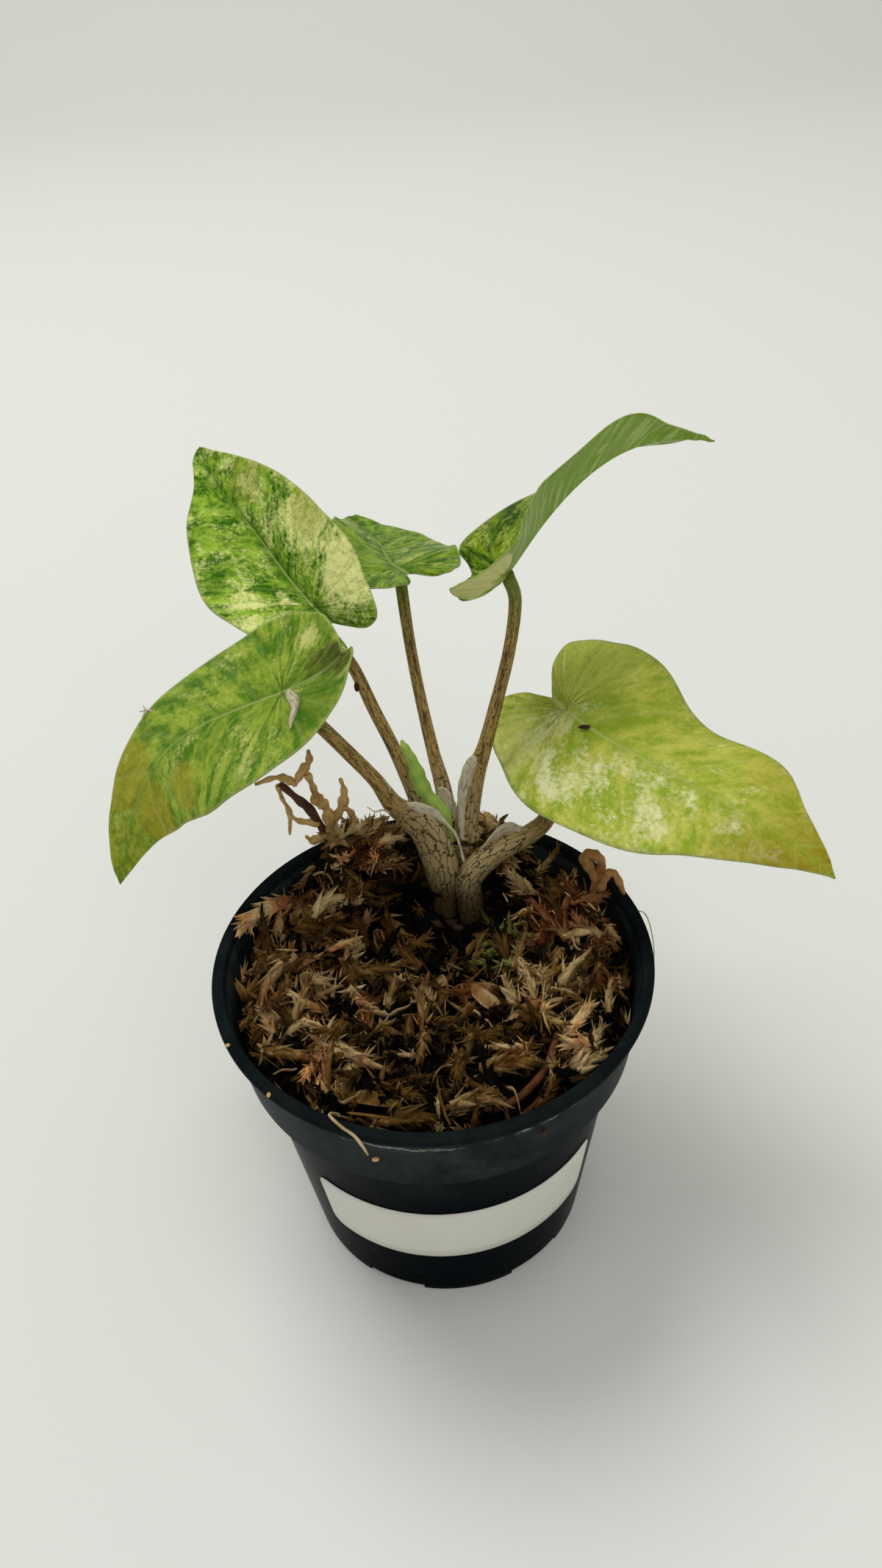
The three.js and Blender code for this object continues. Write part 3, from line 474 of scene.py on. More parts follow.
def lay_sprigs(name, stands_for, material, keep, *layers):
    """Lays sprigs, each bent and turned its own way, and joins them to one piece; a layer is its seed,
    count, depth, rise, size and tone, the deeper layers having lower tones as painted shade"""
    form, tones = bmesh.new(), []
    for seed, count, depth, rise, size, tone in layers:
        for x, y, draw in sprig_spots(count, seed, MOSS_EDGE - 0.5, keep):
            hollow = hollow_at(x, y)
            if depth > 0 and hollow > 0.5:
                continue
            shape = draw.choice(SPRIGS).copy()
            heading, scale = draw.uniform(0, tau), size * draw.uniform(0.7, 1.2)
            tip = hypot(x + SPRIG_REACH * scale * cos(heading), y + SPRIG_REACH * scale * sin(heading))
            if tip > MOSS_EDGE:
                heading = atan2(y, x) + draw.choice((-1, 1)) * draw.uniform(1.6, 2.6)
            # Painted shade: the hollow, the middle of the front and the strip along the front rim are darker
            shade = 0.7 * hollow + 0.28 * exp(-((x - 1) ** 2 + (y + 18) ** 2) / 260)
            shade += 0.16 * min(max((-14 - y) / 16, 0), 1)
            bend, sway = draw.uniform(-2.2, 1.2), draw.uniform(-2.2, 2.2)
            for vert in shape.vertices:
                share = (vert.co.x / 9) ** 2
                tones.append(0.16 * min(hypot(vert.co.y, vert.co.z), 2) - 0.3)
                vert.co.z += bend * share
                vert.co.y += sway * share
            own_tone = tone + draw.gauss(0, 0.2) - shade
            tones[-len(shape.vertices):] = [t + own_tone for t in tones[-len(shape.vertices):]]
            climb = radians(draw.gauss(rise, 12)) * (1 - 0.6 * hollow)
            low = moss_height(x, y) + depth - 2.5 * hollow + draw.uniform(-0.5, 0.5)
            shape.transform(Matrix.Translation((x, y, low)) @ Matrix.Rotation(heading, 4, "Z")
                            @ Matrix.Rotation(-climb, 4, "Y") @ Matrix.Rotation(draw.uniform(0, 6.28), 4, "X")
                            @ Matrix.Diagonal((scale, scale, scale, 1)))
            for vert in shape.vertices:
                inward = min(1, MOSS_EDGE / hypot(vert.co.x, vert.co.y))
                vert.co.xy = vert.co.xy * inward
            form.from_mesh(shape)
            bpy.data.meshes.remove(shape)
    finish(name, form, [material], "moss", [stands_for], tone=tones)


def make_core(material):
    """The matted core: a lumpy plug that fills the pot from its floor up to just under the sprigs"""
    floor, ledge = POT["floor"] + 0.3, POT["step_height"] + POT["wall"]
    rim = pot_inside(ledge) + 0.6
    rings = [(0, floor), (pot_wall(floor) - POT["wall"] - 0.3, floor),
             (pot_wall(ledge) - POT["wall"] - 0.6, ledge + 0.1), (rim - 0.9, ledge + 0.3), (rim, None)]
    rings += [(rim * (1 - k / CORE_RINGS), None) for k in range(1, CORE_RINGS + 1)]
    form = bmesh.new()
    bmesh.ops.create_grid(form, x_segments=CORE_SIDES, y_segments=len(rings) - 1, size=1)
    draw = random.Random(4)
    lumps = {}
    for vert in form.verts:
        turn = pi * (vert.co.x + 1)
        ring = round((vert.co.y + 1) / 2 * (len(rings) - 1))
        r, z = rings[ring]
        x, y = r * cos(turn), r * sin(turn)
        if z is None:
            key = (ring, round(turn / tau * CORE_SIDES) % CORE_SIDES if r else 0)
            z = moss_height(x, y) - 2.2 + lumps.setdefault(key, draw.uniform(-0.9, 0.5))
        vert.co = (x, y, z)
    bmesh.ops.remove_doubles(form, verts=form.verts, dist=1e-3)
    bmesh.ops.recalc_face_normals(form, faces=form.faces)
    finish("moss_core", form, [material], "moss", ["moss_bed"], tone=[0.02] * len(form.verts))


TAN_MOSS = dry_moss("dead sphagnum tan", "#090501", "#765628", "#E6CA92")
OLIVE_MOSS = dry_moss("dead sphagnum olive", "#0B0C02", "#4C4C18", "#9C9A58")
RUSSET_MOSS = dry_moss("dead sphagnum red brown", "#160602", "#6C3C20", "#BE8A5C")
SPRIGS = [sprig_shape(*sizes) for sizes in (
    (1, 9, 2.2, 17), (2, 11, 2.4, 20), (3, 7.5, 2, 15), (4, 12.5, 2.1, 21), (5, 8, 2.6, 17), (6, 10, 1.6, 16),
    (7, 7, 1.5, 16, 46))]
SPRIGS += [star_shape(8, 2.3, 14), star_shape(9, 2.8, 12),
           *(flake_shape(*sizes) for sizes in ((6.5, 3.2), (5, 2.4), (11, 0.8)))]
# The core's near-black colour is painted shade for the gaps between the sprigs
make_core(dry_moss("matted sphagnum in painted shade", "#0C0806", "#21160D", "#3A2817"))
lay_sprigs("moss_bed_sprigs", "moss_bed", TAN_MOSS,
           lambda x, y: not any(in_patch(x, y, name, -2) for name in PATCHES),
           (11, 430, -2.2, 2, 1.0, 0.12), (12, 420, -0.9, 12, 1.0, 0.42), (13, 380, 0.3, 26, 0.95, 0.72))
# Longer sprigs that lie on top: shape, foot, heading, length and tone of each
LONG_SPRIGS = ((9, 12.5, -13, 112, 9, 0.8), (10, 12, -8, 130, 6, 0.7), (3, 13.5, -17.6, 31, 15.4, 0.85),
    (1, 23.4, -24.1, 31, 13.6, 0.9), (0, 26, -30, 33, 9.5, 0.8), (3, -21.4, -13.3, -47, 17.9, 0.85),
    (1, -28.3, 7.1, -106, 19.7, 0.95), (4, -24.6, 15, 32, 10.9, 0.9), (9, -16.5, -32.1, 4, 9.2, 0.65),
    (8, 20.3, -15.1, -14, 4.2, 1), (2, -33, -16, -45, 13, 0.65), (0, 1.2, -37, 7, 11.9, 0.75),
    (5, -4.7, -4.8, -1, 8, 0.45), (2, 16.5, -4, 11, 12.9, 0.7), (2, -5.1, -15.3, -79, 10, 0.7),
    (1, 1.8, -19.7, -75, 13.4, 0.6), (0, -16.7, -0.5, 17, 10.1, 0.6), (0, 6.5, -14.7, -118, 14, 0.55),
    (2, 34, 0, -83, 12, 0.6), (4, -8.6, -32.5, -36, 10.2, 0.6), (6, -31, -16.2, 16, 9.6, 0.8),
    (3, 27, -8, 62, 13, 0.8), (3, -33, -2, 80, 14, 0.7), (1, 8, -29, 20, 13, 0.65))
form, tones = bmesh.new(), []
for kind, x, y, heading, length, tone in LONG_SPRIGS:
    shape = SPRIGS[kind].copy()
    reach = max(vert.co.x for vert in shape.vertices)
    for vert in shape.vertices:
        tones.append(tone + 0.16 * min(hypot(vert.co.y, vert.co.z), 2) - 0.3)
        vert.co.z += 1.2 * sin(3 * vert.co.x / reach)
        vert.co.y += 1.8 * sin(2.6 * vert.co.x / reach + x)
    shape.transform(Matrix.Translation((x, y, moss_height(x, y) + 1.2))
            @ Matrix.Rotation(radians(heading), 4, "Z") @ Matrix.Rotation(-0.12, 4, "Y")
            @ Matrix.Diagonal((length / reach, 1.25, 1.25, 1)))
    form.from_mesh(shape)
finish("moss_long_sprigs", form, [TAN_MOSS], "moss", ["moss_bed"], tone=tones)
lay_sprigs("moss_back_sprigs", "moss_bed", TAN_MOSS,
           lambda x, y: hypot(x + 13, y - 34) < 7 or hypot(x - 15, y - 35) < 5.5,
           (41, 1500, 0.5, 20, 0.9, 0.45), (42, 1400, 2.5, 35, 0.85, 0.65), (43, 900, 4.5, 38, 0.8, 0.88))
lay_sprigs("moss_olive_sprigs", "moss_olive", OLIVE_MOSS, partial(in_patch, name="olive"),
           (21, 800, -1.0, 5, 0.6, 0.4), (22, 600, 0.2, 18, 0.55, 0.78))
lay_sprigs("moss_russet_sprigs", "moss_russet", RUSSET_MOSS, partial(in_patch, name="russet"),
           (31, 620, -1.0, 5, 0.75, 0.4), (32, 520, 0.4, 18, 0.8, 0.65))

# The corm: the plant's short rough rootstock with a few thick roots. It is corky living tissue,
# wholly buried in the moss, which holds it upright, and it carries the stalks
def corky_skin():
    """Dead corky skin: dull brown with fine rings of old leaf scars"""
    add, surface = new_material("corky rootstock skin")
    place = add("TexCoord", out="Object")
    rings = add("TexWave", (place, 90, 5, 3), out="Fac", bands_direction="Z")
    tint = add("Mix", (rings, "#2B1A10", "#6B4A2E"))
    return surface(tint, 0.85, (rings, 0.6, 0.0006))


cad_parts["corm"].data.materials.clear()
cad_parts["corm"].data.materials.append(corky_skin())

# The leaf blades: five heart-shaped leaves, thick and leathery, marbled where the tissue lacks
# green. Veins run from the midrib to the edge, and the midrib lies in a shallow groove
BLADE_THICKNESS = 0.3
BLADE_GRID = (110, 22)
# A midrib is walked in hundredths of its length, from behind the stalk joint to just past the tip
SPINE_PARTS, SPINE_BEFORE, SPINE_AFTER = 100, 40, 105
LEAVES = {
    "a": dict(
        at=(-20.8, 69.7, 116.9), length=61.9,
        posture=((137, 9, -28), (124, 14, -30), (119, 19, -37), (122, 18, -37), (103, 21, -29)),
        left=dict(fold=(49, 30.5, 23), curl=(-2.7, -4.7), edge=(
            (1, 0), (0.94, 0.04), (0.8, 0.09), (0.63, 0.21), (0.42, 0.29), (0.2, 0.33),
            (-0.02, 0.32), (-0.2, 0.25), (-0.29, 0.16), (-0.26, 0.06), (-0.1, 0))),
        right=dict(fold=(45, 32.5, 22), curl=(-2.4, -4.4), edge=(
            (1, 0), (0.94, 0.045), (0.81, 0.125), (0.62, 0.21), (0.42, 0.275), (0.2, 0.31),
            (-0.025, 0.305), (-0.185, 0.225), (-0.3, 0.155), (-0.27, 0.075), (-0.1, 0))),
    ),
    "b": dict(
        at=(-26.2, 31.8, 119.2), length=65.7,
        posture=((182, -54, -12), (169, -26, -16), (173, -31, -18), (203, -60, -12), (240, -65, -18)),
        left=dict(fold=(17, -3.5, -7.5), curl=(-3.6, -5.8), edge=(
            (1, 0), (0.93, 0.04), (0.8, 0.11), (0.63, 0.23), (0.43, 0.3), (0.2, 0.33),
            (-0.02, 0.32), (-0.19, 0.245), (-0.3, 0.14), (-0.28, 0.012), (-0.1, 0))),
        right=dict(fold=(15, -1, -4.5), curl=(-4, -5.3), edge=(
            (1, 0), (0.93, 0.04), (0.79, 0.12), (0.62, 0.2), (0.42, 0.285), (0.2, 0.32),
            (-0.01, 0.32), (-0.17, 0.24), (-0.25, 0.14), (-0.24, 0.012), (-0.1, 0))),
    ),
    "c": dict(
        at=(-0.9, 82.3, 118.7), length=55.4,
        posture=((114, -9, 1), (107, -15, 2), (97, -12, 10), (107, -10, 20), (106, -6, 12)),
        left=dict(fold=(6.5, 16, 20), curl=(-4.4, -3.8), edge=(
            (1, 0), (0.93, 0.04), (0.8, 0.12), (0.62, 0.21), (0.42, 0.27), (0.2, 0.315),
            (-0.02, 0.31), (-0.2, 0.25), (-0.3, 0.155), (-0.26, 0.05), (-0.1, 0))),
        right=dict(fold=(7.5, 14.5, 18), curl=(-4.8, -4.4), edge=(
            (1, 0), (0.94, 0.05), (0.81, 0.12), (0.62, 0.2), (0.42, 0.26), (0.21, 0.3),
            (-0.01, 0.27), (-0.19, 0.215), (-0.29, 0.14), (-0.26, 0.08), (-0.1, 0))),
    ),
    "d": dict(
        at=(21.4, 50.9, 131.8), length=55,
        posture=((-56, 8, 12), (31, 37, 6), (17, 42, 8), (22, 9, -8), (-29, -4, -16)),
        left=dict(fold=(6, -19, -9), curl=(-8, -6), edge=(
            (1, 0), (0.93, 0.035), (0.8, 0.115), (0.62, 0.205), (0.42, 0.27), (0.2, 0.33),
            (-0.02, 0.34), (-0.22, 0.285), (-0.33, 0.18), (-0.24, 0.045), (-0.04, 0))),
        right=dict(fold=(56, 66, 41), curl=(-3.7, -3.5), edge=(
            (1, 0), (0.93, 0.03), (0.8, 0.11), (0.63, 0.22), (0.42, 0.26), (0.2, 0.32),
            (-0.015, 0.31), (-0.135, 0.25), (-0.195, 0.14), (-0.175, 0.055), (-0.04, 0))),
    ),
    "e": dict(
        at=(32.6, 39.6, 104.5), length=70.1,
        posture=((-79, 8, 30), (-69, 6, 27), (-46, -5, 8), (-52, -1, 13), (-66, -4, 18)),
        left=dict(fold=(-2.5, -3.7, -7), curl=(-4.2, -4.9), edge=(
            (1, 0), (0.93, 0.04), (0.8, 0.115), (0.64, 0.225), (0.44, 0.25), (0.21, 0.315),
            (-0.02, 0.31), (-0.2, 0.26), (-0.29, 0.17), (-0.25, 0.08), (-0.09, 0))),
        right=dict(fold=(-8, -4.6, -7.6), curl=(-4.9, -5.3), edge=(
            (1, 0), (0.93, 0.04), (0.8, 0.11), (0.635, 0.2), (0.46, 0.285), (0.2, 0.31),
            (-0.015, 0.27), (-0.2, 0.235), (-0.29, 0.165), (-0.245, 0.065), (-0.09, 0))),
    ),
}


def ramp_between(rows, x):
    """Straight-line value between (place, value) rows"""
    for (x0, y0), (x1, y1) in zip(rows, rows[1:]):
        if x <= x1:
            break
    return y0 + (y1 - y0) * min(max((x - x0) / (x1 - x0), 0), 1)


def spine_of(leaf):
    """Place, side and up direction of a blade's midrib at any share of its length"""
    step, steps = 1 / SPINE_PARTS, []
    for k in range(SPINE_BEFORE + SPINE_AFTER + 1):
        place = 3 * step * (k - SPINE_BEFORE) + 1
        turn, rise, roll = (radians(a) for a in smooth(leaf["posture"], place))
        travel = Vector((cos(rise) * cos(turn), cos(rise) * sin(turn), sin(rise)))
        level = Vector((-sin(turn), cos(turn), 0))
        over = travel.cross(level)
        side = level * cos(roll) + over * sin(roll)
        up = over * cos(roll) - level * sin(roll)
        steps.append([Vector(), side, up, travel])
    for before, here in zip(steps, steps[1:]):
        here[0] = before[0] + (before[3] + here[3]) * (step / 2) * leaf["length"]
    shift = Vector(leaf["at"]) - steps[SPINE_BEFORE][0]

    def at(along):
        place = min(max(along * SPINE_PARTS + SPINE_BEFORE, 0), SPINE_BEFORE + SPINE_AFTER - 0.001)
        k = int(place)
        point, side, up = (steps[k][c].lerp(steps[k + 1][c], place - k) for c in range(3))
        return point + shift, side, up

    return at


def blade_point(leaf, spine, along, across, lift):
    """A point of a blade: along and across in blade lengths, lifted off its middle in mm"""
    point, side, up = spine(along)

    def half_at(half):
        fold = radians(ramp_between(list(zip((-1 / 3, 1 / 3, 1), half["fold"])), along))
        return fold, radians(ramp_between(list(zip((-1 / 3, 1), half["curl"])), along)) / 10

    if across == 0:
        left, right = half_at(leaf["left"])[0], half_at(leaf["right"])[0]
        lean, opening = (right - left) / 2, (right + left) / 2
        reach = lift / max(0.5, cos(opening))
        return point + side * reach * sin(lean) + up * reach * cos(lean)
    hand = 1 if across > 0 else -1
    reach = abs(across) * leaf["length"]
    fold, bend = half_at(leaf["left"] if hand > 0 else leaf["right"])
    slope = fold + bend * reach
    out = (sin(slope) - sin(fold)) / bend - lift * sin(slope)
    high = (cos(fold) - cos(slope)) / bend + lift * cos(slope)
    return point + side * hand * out + up * high


def make_blade(name, leaf, top, under):
    """Each half is a grid whose rows follow the veins, with waves and soft puckers between them"""
    spine = spine_of(leaf)
    last = len(leaf["left"]["edge"]) - 1
    form = bmesh.new()
    flat, vein = form.verts.layers.float_vector.new("flat"), form.verts.layers.float_vector.new("vein")
    for side, hand in (("left", 1), ("right", -1)):
        before = set(form.verts)
        bmesh.ops.create_grid(form, x_segments=BLADE_GRID[0], y_segments=BLADE_GRID[1], size=1)
        fresh = [v for v in form.verts if v not in before]
        for vert in fresh:
            row, f = (vert.co.x + 1) / 2 * last, ((vert.co.y + 1) / 2)
            f = f ** 1.25
            left, right = smooth(leaf["left"]["edge"], row), smooth(leaf["right"]["edge"], row)
            root = max(0, (left[0] + right[0]) / 2 - 0.3 * (left[1] + right[1]))
            edge = left if hand > 0 else right
            along = root + (edge[0] - root) * f
            across = edge[1] * f * hand if 1e-4 < row < last - 1e-4 else 0
            wave = 0.5 * f ** 3 * sin(tau * 4 * row / last)
            ripple = 0.1 * f ** 4 * sin(tau * 11 * row / last + hand + leaf["length"])
            pucker = 0.18 * sin(pi * f) * cos(tau * (row * 1.5 + 0.25 * f))
            groove = -0.25 * exp(-(f * edge[1] * leaf["length"] / 0.7) ** 2) * (1 - along)
            vert.co = blade_point(leaf, spine, along, across, wave + ripple + pucker + groove)
            vert[flat] = (along * leaf["length"], across * leaf["length"], 0)
            vert[vein] = (row, f, hand * f)
    bmesh.ops.remove_doubles(form, verts=form.verts, dist=1e-3)
    bmesh.ops.dissolve_degenerate(form, edges=form.edges, dist=1e-4)
    bmesh.ops.recalc_face_normals(form, faces=form.faces)
    middle = spine(0.3)[2]
    if sum(f.normal.dot(middle) * f.calc_area() for f in form.faces) < 0:
        bmesh.ops.reverse_faces(form, faces=form.faces)
    piece = finish("leaf_" + name, form, [top, under], "leaf", ["blade_" + name])
    shape_with(piece, "SOLIDIFY", thickness=BLADE_THICKNESS * MM, offset=0, material_offset=1,
               use_quality_normals=True)


def with_spots(add, share, flat, spots):
    """A share raised or lowered round each spot, which fades out over its radius"""
    for along, across, radius, amount in spots:
        near = add("VectorMath", (flat, (along, across, 0)), "DISTANCE")
        fade = add("MapRange", (near, 0, radius, amount, 0), interpolation_type="SMOOTHSTEP")
        share = add("Math", (share, fade), "ADD")
    return share


def leaf_skin(name, light, dark, cream, tip, cream_share, tip_from, seed, spots=(), patches=()):
    """Waxy marbled leaf: streaks of cream run with the veins, finer flecks break their edges, a
    silvery midrib and faint side veins; the wax gives small broken highlights"""
    add, surface = new_material(name)
    flat = add("Attribute", out="Vector", attribute_name="flat")
    vein = add("Attribute", out="Vector", attribute_name="vein")
    vein_parts = add("SeparateXYZ", (vein,)).node.outputs
    flat_parts = add("SeparateXYZ", (flat,)).node.outputs
    with_veins = add("CombineXYZ", (vein_parts[0], vein_parts[2], float(seed)))
    place = add("Mapping", {"Vector": flat, "Location": (seed * 17.0, seed * 9.0, 0)})
    streak = add("TexNoise", (add("Mapping", {"Vector": with_veins, "Scale": (2.3, 2.2, 1)}), 1, 6, 0.7, 2,
            0.4))
    blotch = add("TexNoise", (place, 0.11, 6, 0.66, 2, 0.7))
    fleck = add("TexNoise", (place, 0.95, 4, 0.75))
    share = add("Math", (streak, 0.42, cream_share - 0.49), "MULTIPLY_ADD")
    for part, weight in ((blotch, 0.34), (fleck, 0.3)):
        share = add("Math", (part, weight, share), "MULTIPLY_ADD")
    cream_here = add("MapRange", (with_spots(add, share, flat, spots), 0.5, 0.61))
    green_streak = add("TexNoise", (add("Mapping", {"Vector": with_veins, "Scale": (3.2, 2.2, 1),
            "Location": (5, 3, 2)}), 1, 5, 0.7))
    green_here = add("MapRange", (add("Math", (fleck, 0.25, green_streak), "MULTIPLY_ADD"), 0.53, 0.73))
    green = add("Mix", (green_here, dark, light))
    marbled = add("Mix", (cream_here, green, cream))
    to_tip = add("Math", (blotch, 22.0, flat_parts[0]), "MULTIPLY_ADD")
    tip_here = add("MapRange", (to_tip, tip_from + 4, tip_from + 36, 0, 0.85),
            interpolation_type="SMOOTHSTEP")
    aged = add("Mix", (tip_here, marbled, tip))
    for along, across, radius, amount, colour in patches:
        near = add("VectorMath", (flat, (along, across, 0)), "DISTANCE")
        ragged = add("Math", (blotch, -1.1 * radius, near), "MULTIPLY_ADD")
        fade = add("MapRange", (ragged, 0, 0.45 * radius, amount, 0), interpolation_type="SMOOTHSTEP")
        aged = add("Mix", (fade, aged, colour))
    ladder = add("Math", (vein_parts[0], 1.5, 0.5), "MULTIPLY_ADD")
    bowed = add("Math", (vein_parts[1], 0.25, ladder), "MULTIPLY_ADD")
    tooth = add("Math", (add("Math", (bowed,), "FRACT"), 0.5), "SUBTRACT")
    off_vein = add("Math", (tooth,), "ABSOLUTE")
    side_vein = add("MapRange", (off_vein, 0.012, 0.09, 0.16, 0))
    across = add("Math", (flat_parts[1],), "ABSOLUTE")
    taper = add("Math", (flat_parts[0], 0.009, across), "MULTIPLY_ADD")
    midrib = add("MapRange", (taper, 0.25, 0.7, 0.6, 0))
    lines = add("Math", (side_vein, midrib), "MAXIMUM")
    silver = add("Mix", (0.5, light, "#C0CC90"))
    # Painted shade: the blade is painted darker along both sides of the midrib, for the shade in its groove
    midrib_groove_shade = add("MapRange", (taper, 0.4, 3.2, 0.42, 0), interpolation_type="SMOOTHSTEP")
    groove_shaded = add("Mix", (midrib_groove_shade, aged, dark))
    veined = add("Mix", (lines, groove_shaded, silver))
    # The margin is painted pale: partly the leaf's own pale rim, partly a painted highlight along the edge
    rim_and_painted_highlight = add("MapRange", (vein_parts[1], 0.965, 0.99, 0, 0.55))
    edged = add("Mix", (rim_and_painted_highlight, veined, "#B9C27A"))
    wax = add("MapRange", (fleck, 0.3, 0.7, 0.16, 0.38))
    pebble = add("TexNoise", (place, 1.5, 3, 0.6))
    pucker = add("TexNoise", (place, 0.42, 2))
    bulge = add("MapRange", (off_vein, 0, 0.42, 0, 2.2), interpolation_type="SMOOTHSTEP")
    quilted = add("Math", (pucker, 4.0, bulge), "MULTIPLY_ADD")
    fine = add("Math", (pebble, quilted), "ADD")
    sunk = add("Math", (lines, -1.4, fine), "MULTIPLY_ADD")
    return surface(edged, wax, (sunk, 0.75, 0.0003), {"IOR": 1.45, "Specular IOR Level": 0.02})


def leaf_underside(name, tissue, cream, cream_share, seed, spots=()):
    """Matt pale underside: close silvery veins that run together towards the tip"""
    add, surface = new_material(name)
    vein = add("Attribute", out="Vector", attribute_name="vein")
    parts = add("SeparateXYZ", (vein,)).node.outputs
    sweep = add("CombineXYZ", (parts[0], parts[2], float(seed)))
    broad = add("TexNoise", (add("Mapping", {"Vector": sweep, "Scale": (1.4, 1.2, 1)}), 1, 5, 0.65))
    fine = add("TexNoise", (add("Mapping", {"Vector": sweep, "Scale": (9, 0.8, 1)}), 1, 3, 0.6))
    flat = add("Attribute", out="Vector", attribute_name="flat")
    broad = with_spots(add, broad, flat, spots)
    cream_here = add("MapRange", (broad, 0.62 - cream_share * 0.5, 0.72 - cream_share * 0.5))
    base = add("Mix", (cream_here, tissue, cream))
    lines = add("MapRange", (fine, 0.5, 0.62, 0, 0.62))
    tinted = add("Mix", (lines, base, "#B4C47E"))
    return surface(tinted, 0.48, (fine, 0.35, 0.0003), {"Specular IOR Level": 0.1})


# Marbling of each leaf: light and dark green, cream, tip colour, share of cream, where the tip colour
# starts, seed, cream spots (along, across, radius, amount) and stained patches with their colours
SKINS = {
    "a": ("#A2C63E", "#366A0A", "#F8F8A0", "#6A861C", 0.465, 90, 1,
          ((16, -14, 15, 0.06), (39, -8, 10, 0.03), (6, 16, 16, 0.04), (-6, -13, 15, 0.15),
           (40, 6, 20, -0.04), (16, -2, 10, -0.04)),
          ((16, -17, 8, 0.5, "#B4B04C"), (40, -9, 8, 0.4, "#A8AC40"))),
    "b": ("#A4B840", "#527E1E", "#D2D47C", "#6E8420", 0.42, 62, 2, ((-8, -10, 6, 0.2), (7, 13, 13, 0.07)),
          ((-14, 0, 5, 0.8, "#463C1C"), (-9, -2, 4, 0.6, "#463C1C"), (-18, 4, 5, 0.7, "#463C1C"),
           (43, -7, 10, 0.6, "#A8982A"), (44, 6, 9, 0.65, "#A8982A"), (29, 12, 7, 0.6, "#A89C30"),
           (57, 0, 8, 0.35, "#A8982A"), (-9, 10, 9, 0.55, "#47701A"))),
    "c": ("#94B030", "#3C6A10", "#D0D478", "#8CA01E", 0.43, 90, 3),
    "d": ("#82A020", "#244C06", "#C2C85E", "#587A16", 0.46, 60, 4, ((-8, -13, 8, 0.1),)),
    "e": ("#CFCF5A", "#9AB032", "#F4F2B4", "#90740C", 0.43, 46, 5,
          ((8, -12, 20, 0.07), (30, -10, 22, 0.05), (0, -4, 10, 0.06), (22, 12, 24, -0.08),
           (-4, 15, 16, -0.06), (30, 0, 12, 0.04)),
          ((46, 15, 10, 0.4, "#B4A63C"), (9, 5, 9, 0.35, "#7E9828"), (52, -11, 7, 0.3, "#B4A63C"),
           (-12, 14, 20, 0.5, "#DAE068"), (-6, -15, 13, 0.45, "#E2E684"))),
}
# Undersides: green, cream, share of cream, seed and cream spots
UNDERSIDES = {
    "a": ("#6E8C24", "#C0C474", 0.3, 1), "b": ("#6C8A22", "#B4B860", 0.1, 2),
    "c": ("#708A20", "#A8B050", 0.0, 3),
    "d": ("#7A9A2E", "#DCD890", 0.06, 4, ((-4, 9, 13, 0.5), (-6, -10, 13, 0.45))),
    "e": ("#8E9C30", "#C4C070", 0.2, 5)}
for letter, leaf in LEAVES.items():
    make_blade(letter, leaf, leaf_skin("marbled leaf skin " + letter, *SKINS[letter]),
               leaf_underside("pale leaf underside " + letter, *UNDERSIDES[letter]))

# The leaf stalks: fleshy, waxy and beige with brown streaks, thicker at the foot where each one
# clasps the next inside its sheath. They stand on the corm and end in a joint under the blade
STALKS = {
    "a": (127, (
        (2, 30.4, 60.8, 2, 2), (1.8, 30.6, 67, 2.1, 2.2), (1, 33.4, 75.5, 2, 2.2),
        (-0.8, 38.2, 83.1, 1.7, 1.8), (-4.9, 45.7, 92.5, 1.5, 1.5), (-8.8, 52.1, 99.2, 1.45, 1.45),
        (-13, 59.7, 106.6, 1.4, 1.4), (-17.9, 66.2, 110.9, 1.4, 1.4))),
    "b": (152, (
        (4, 25.4, 60.8, 2.8, 2.8), (4, 25.6, 67, 3, 3.4), (3.4, 26.8, 74, 2.9, 4.3),
        (1.5, 28.8, 81, 2.6, 4.5), (-1.9, 30.3, 85.2, 2.3, 4.1), (-5.8, 31, 88.6, 1.9, 2.6),
        (-9.3, 31.2, 95.6, 1.65, 1.65), (-14.9, 31.7, 103.7, 1.55, 1.55), (-19.5, 31.4, 110.6, 1.5, 1.5),
        (-23.1, 30.4, 116, 1.6, 1.6))),
    "c": (100, (
        (7, 32.5, 60.8, 1.8, 1.8), (6.8, 32.8, 67, 2, 1.9), (6.3, 37.5, 75, 2.1, 1.8),
        (5.4, 43.3, 82.5, 1.9, 1.7), (3.7, 50.3, 88.4, 1.5, 1.5), (1.6, 60.2, 98.3, 1.35, 1.35),
        (0.2, 69.9, 107, 1.35, 1.35), (-0.6, 78.7, 114.6, 1.45, 1.45))),
    "d": (62, (
        (9.5, 28.1, 60.8, 2.6, 2.5), (9.3, 28.3, 67, 2.7, 2.5), (9.3, 31, 74.5, 2.7, 2.3),
        (10.2, 33.2, 82, 2.7, 2), (11.8, 35.2, 90.5, 2.6, 1.8), (14.6, 37.6, 96.8, 1.7, 1.6),
        (17.7, 40.9, 105.8, 1.45, 1.45), (21.2, 44.8, 117, 1.35, 1.35), (23, 48.6, 126.6, 1.4, 1.4))),
    "e": (28, (
        (9.6, 22.4, 60.9, 2.7, 2.7), (9.4, 22.5, 66, 2.9, 2.9), (9.3, 24, 71, 3, 3),
        (12.2, 25.6, 74.2, 2.9, 2.9), (15.8, 27.2, 76.2, 2.8, 2.9), (20, 28.9, 77.2, 2.5, 2.6),
        (24.3, 30.4, 78.2, 2.2, 2.2), (28.2, 32, 81.6, 1.9, 1.9), (31.2, 35.2, 91, 1.6, 1.6),
        (32.4, 38.2, 99.5, 1.5, 1.5))),
}


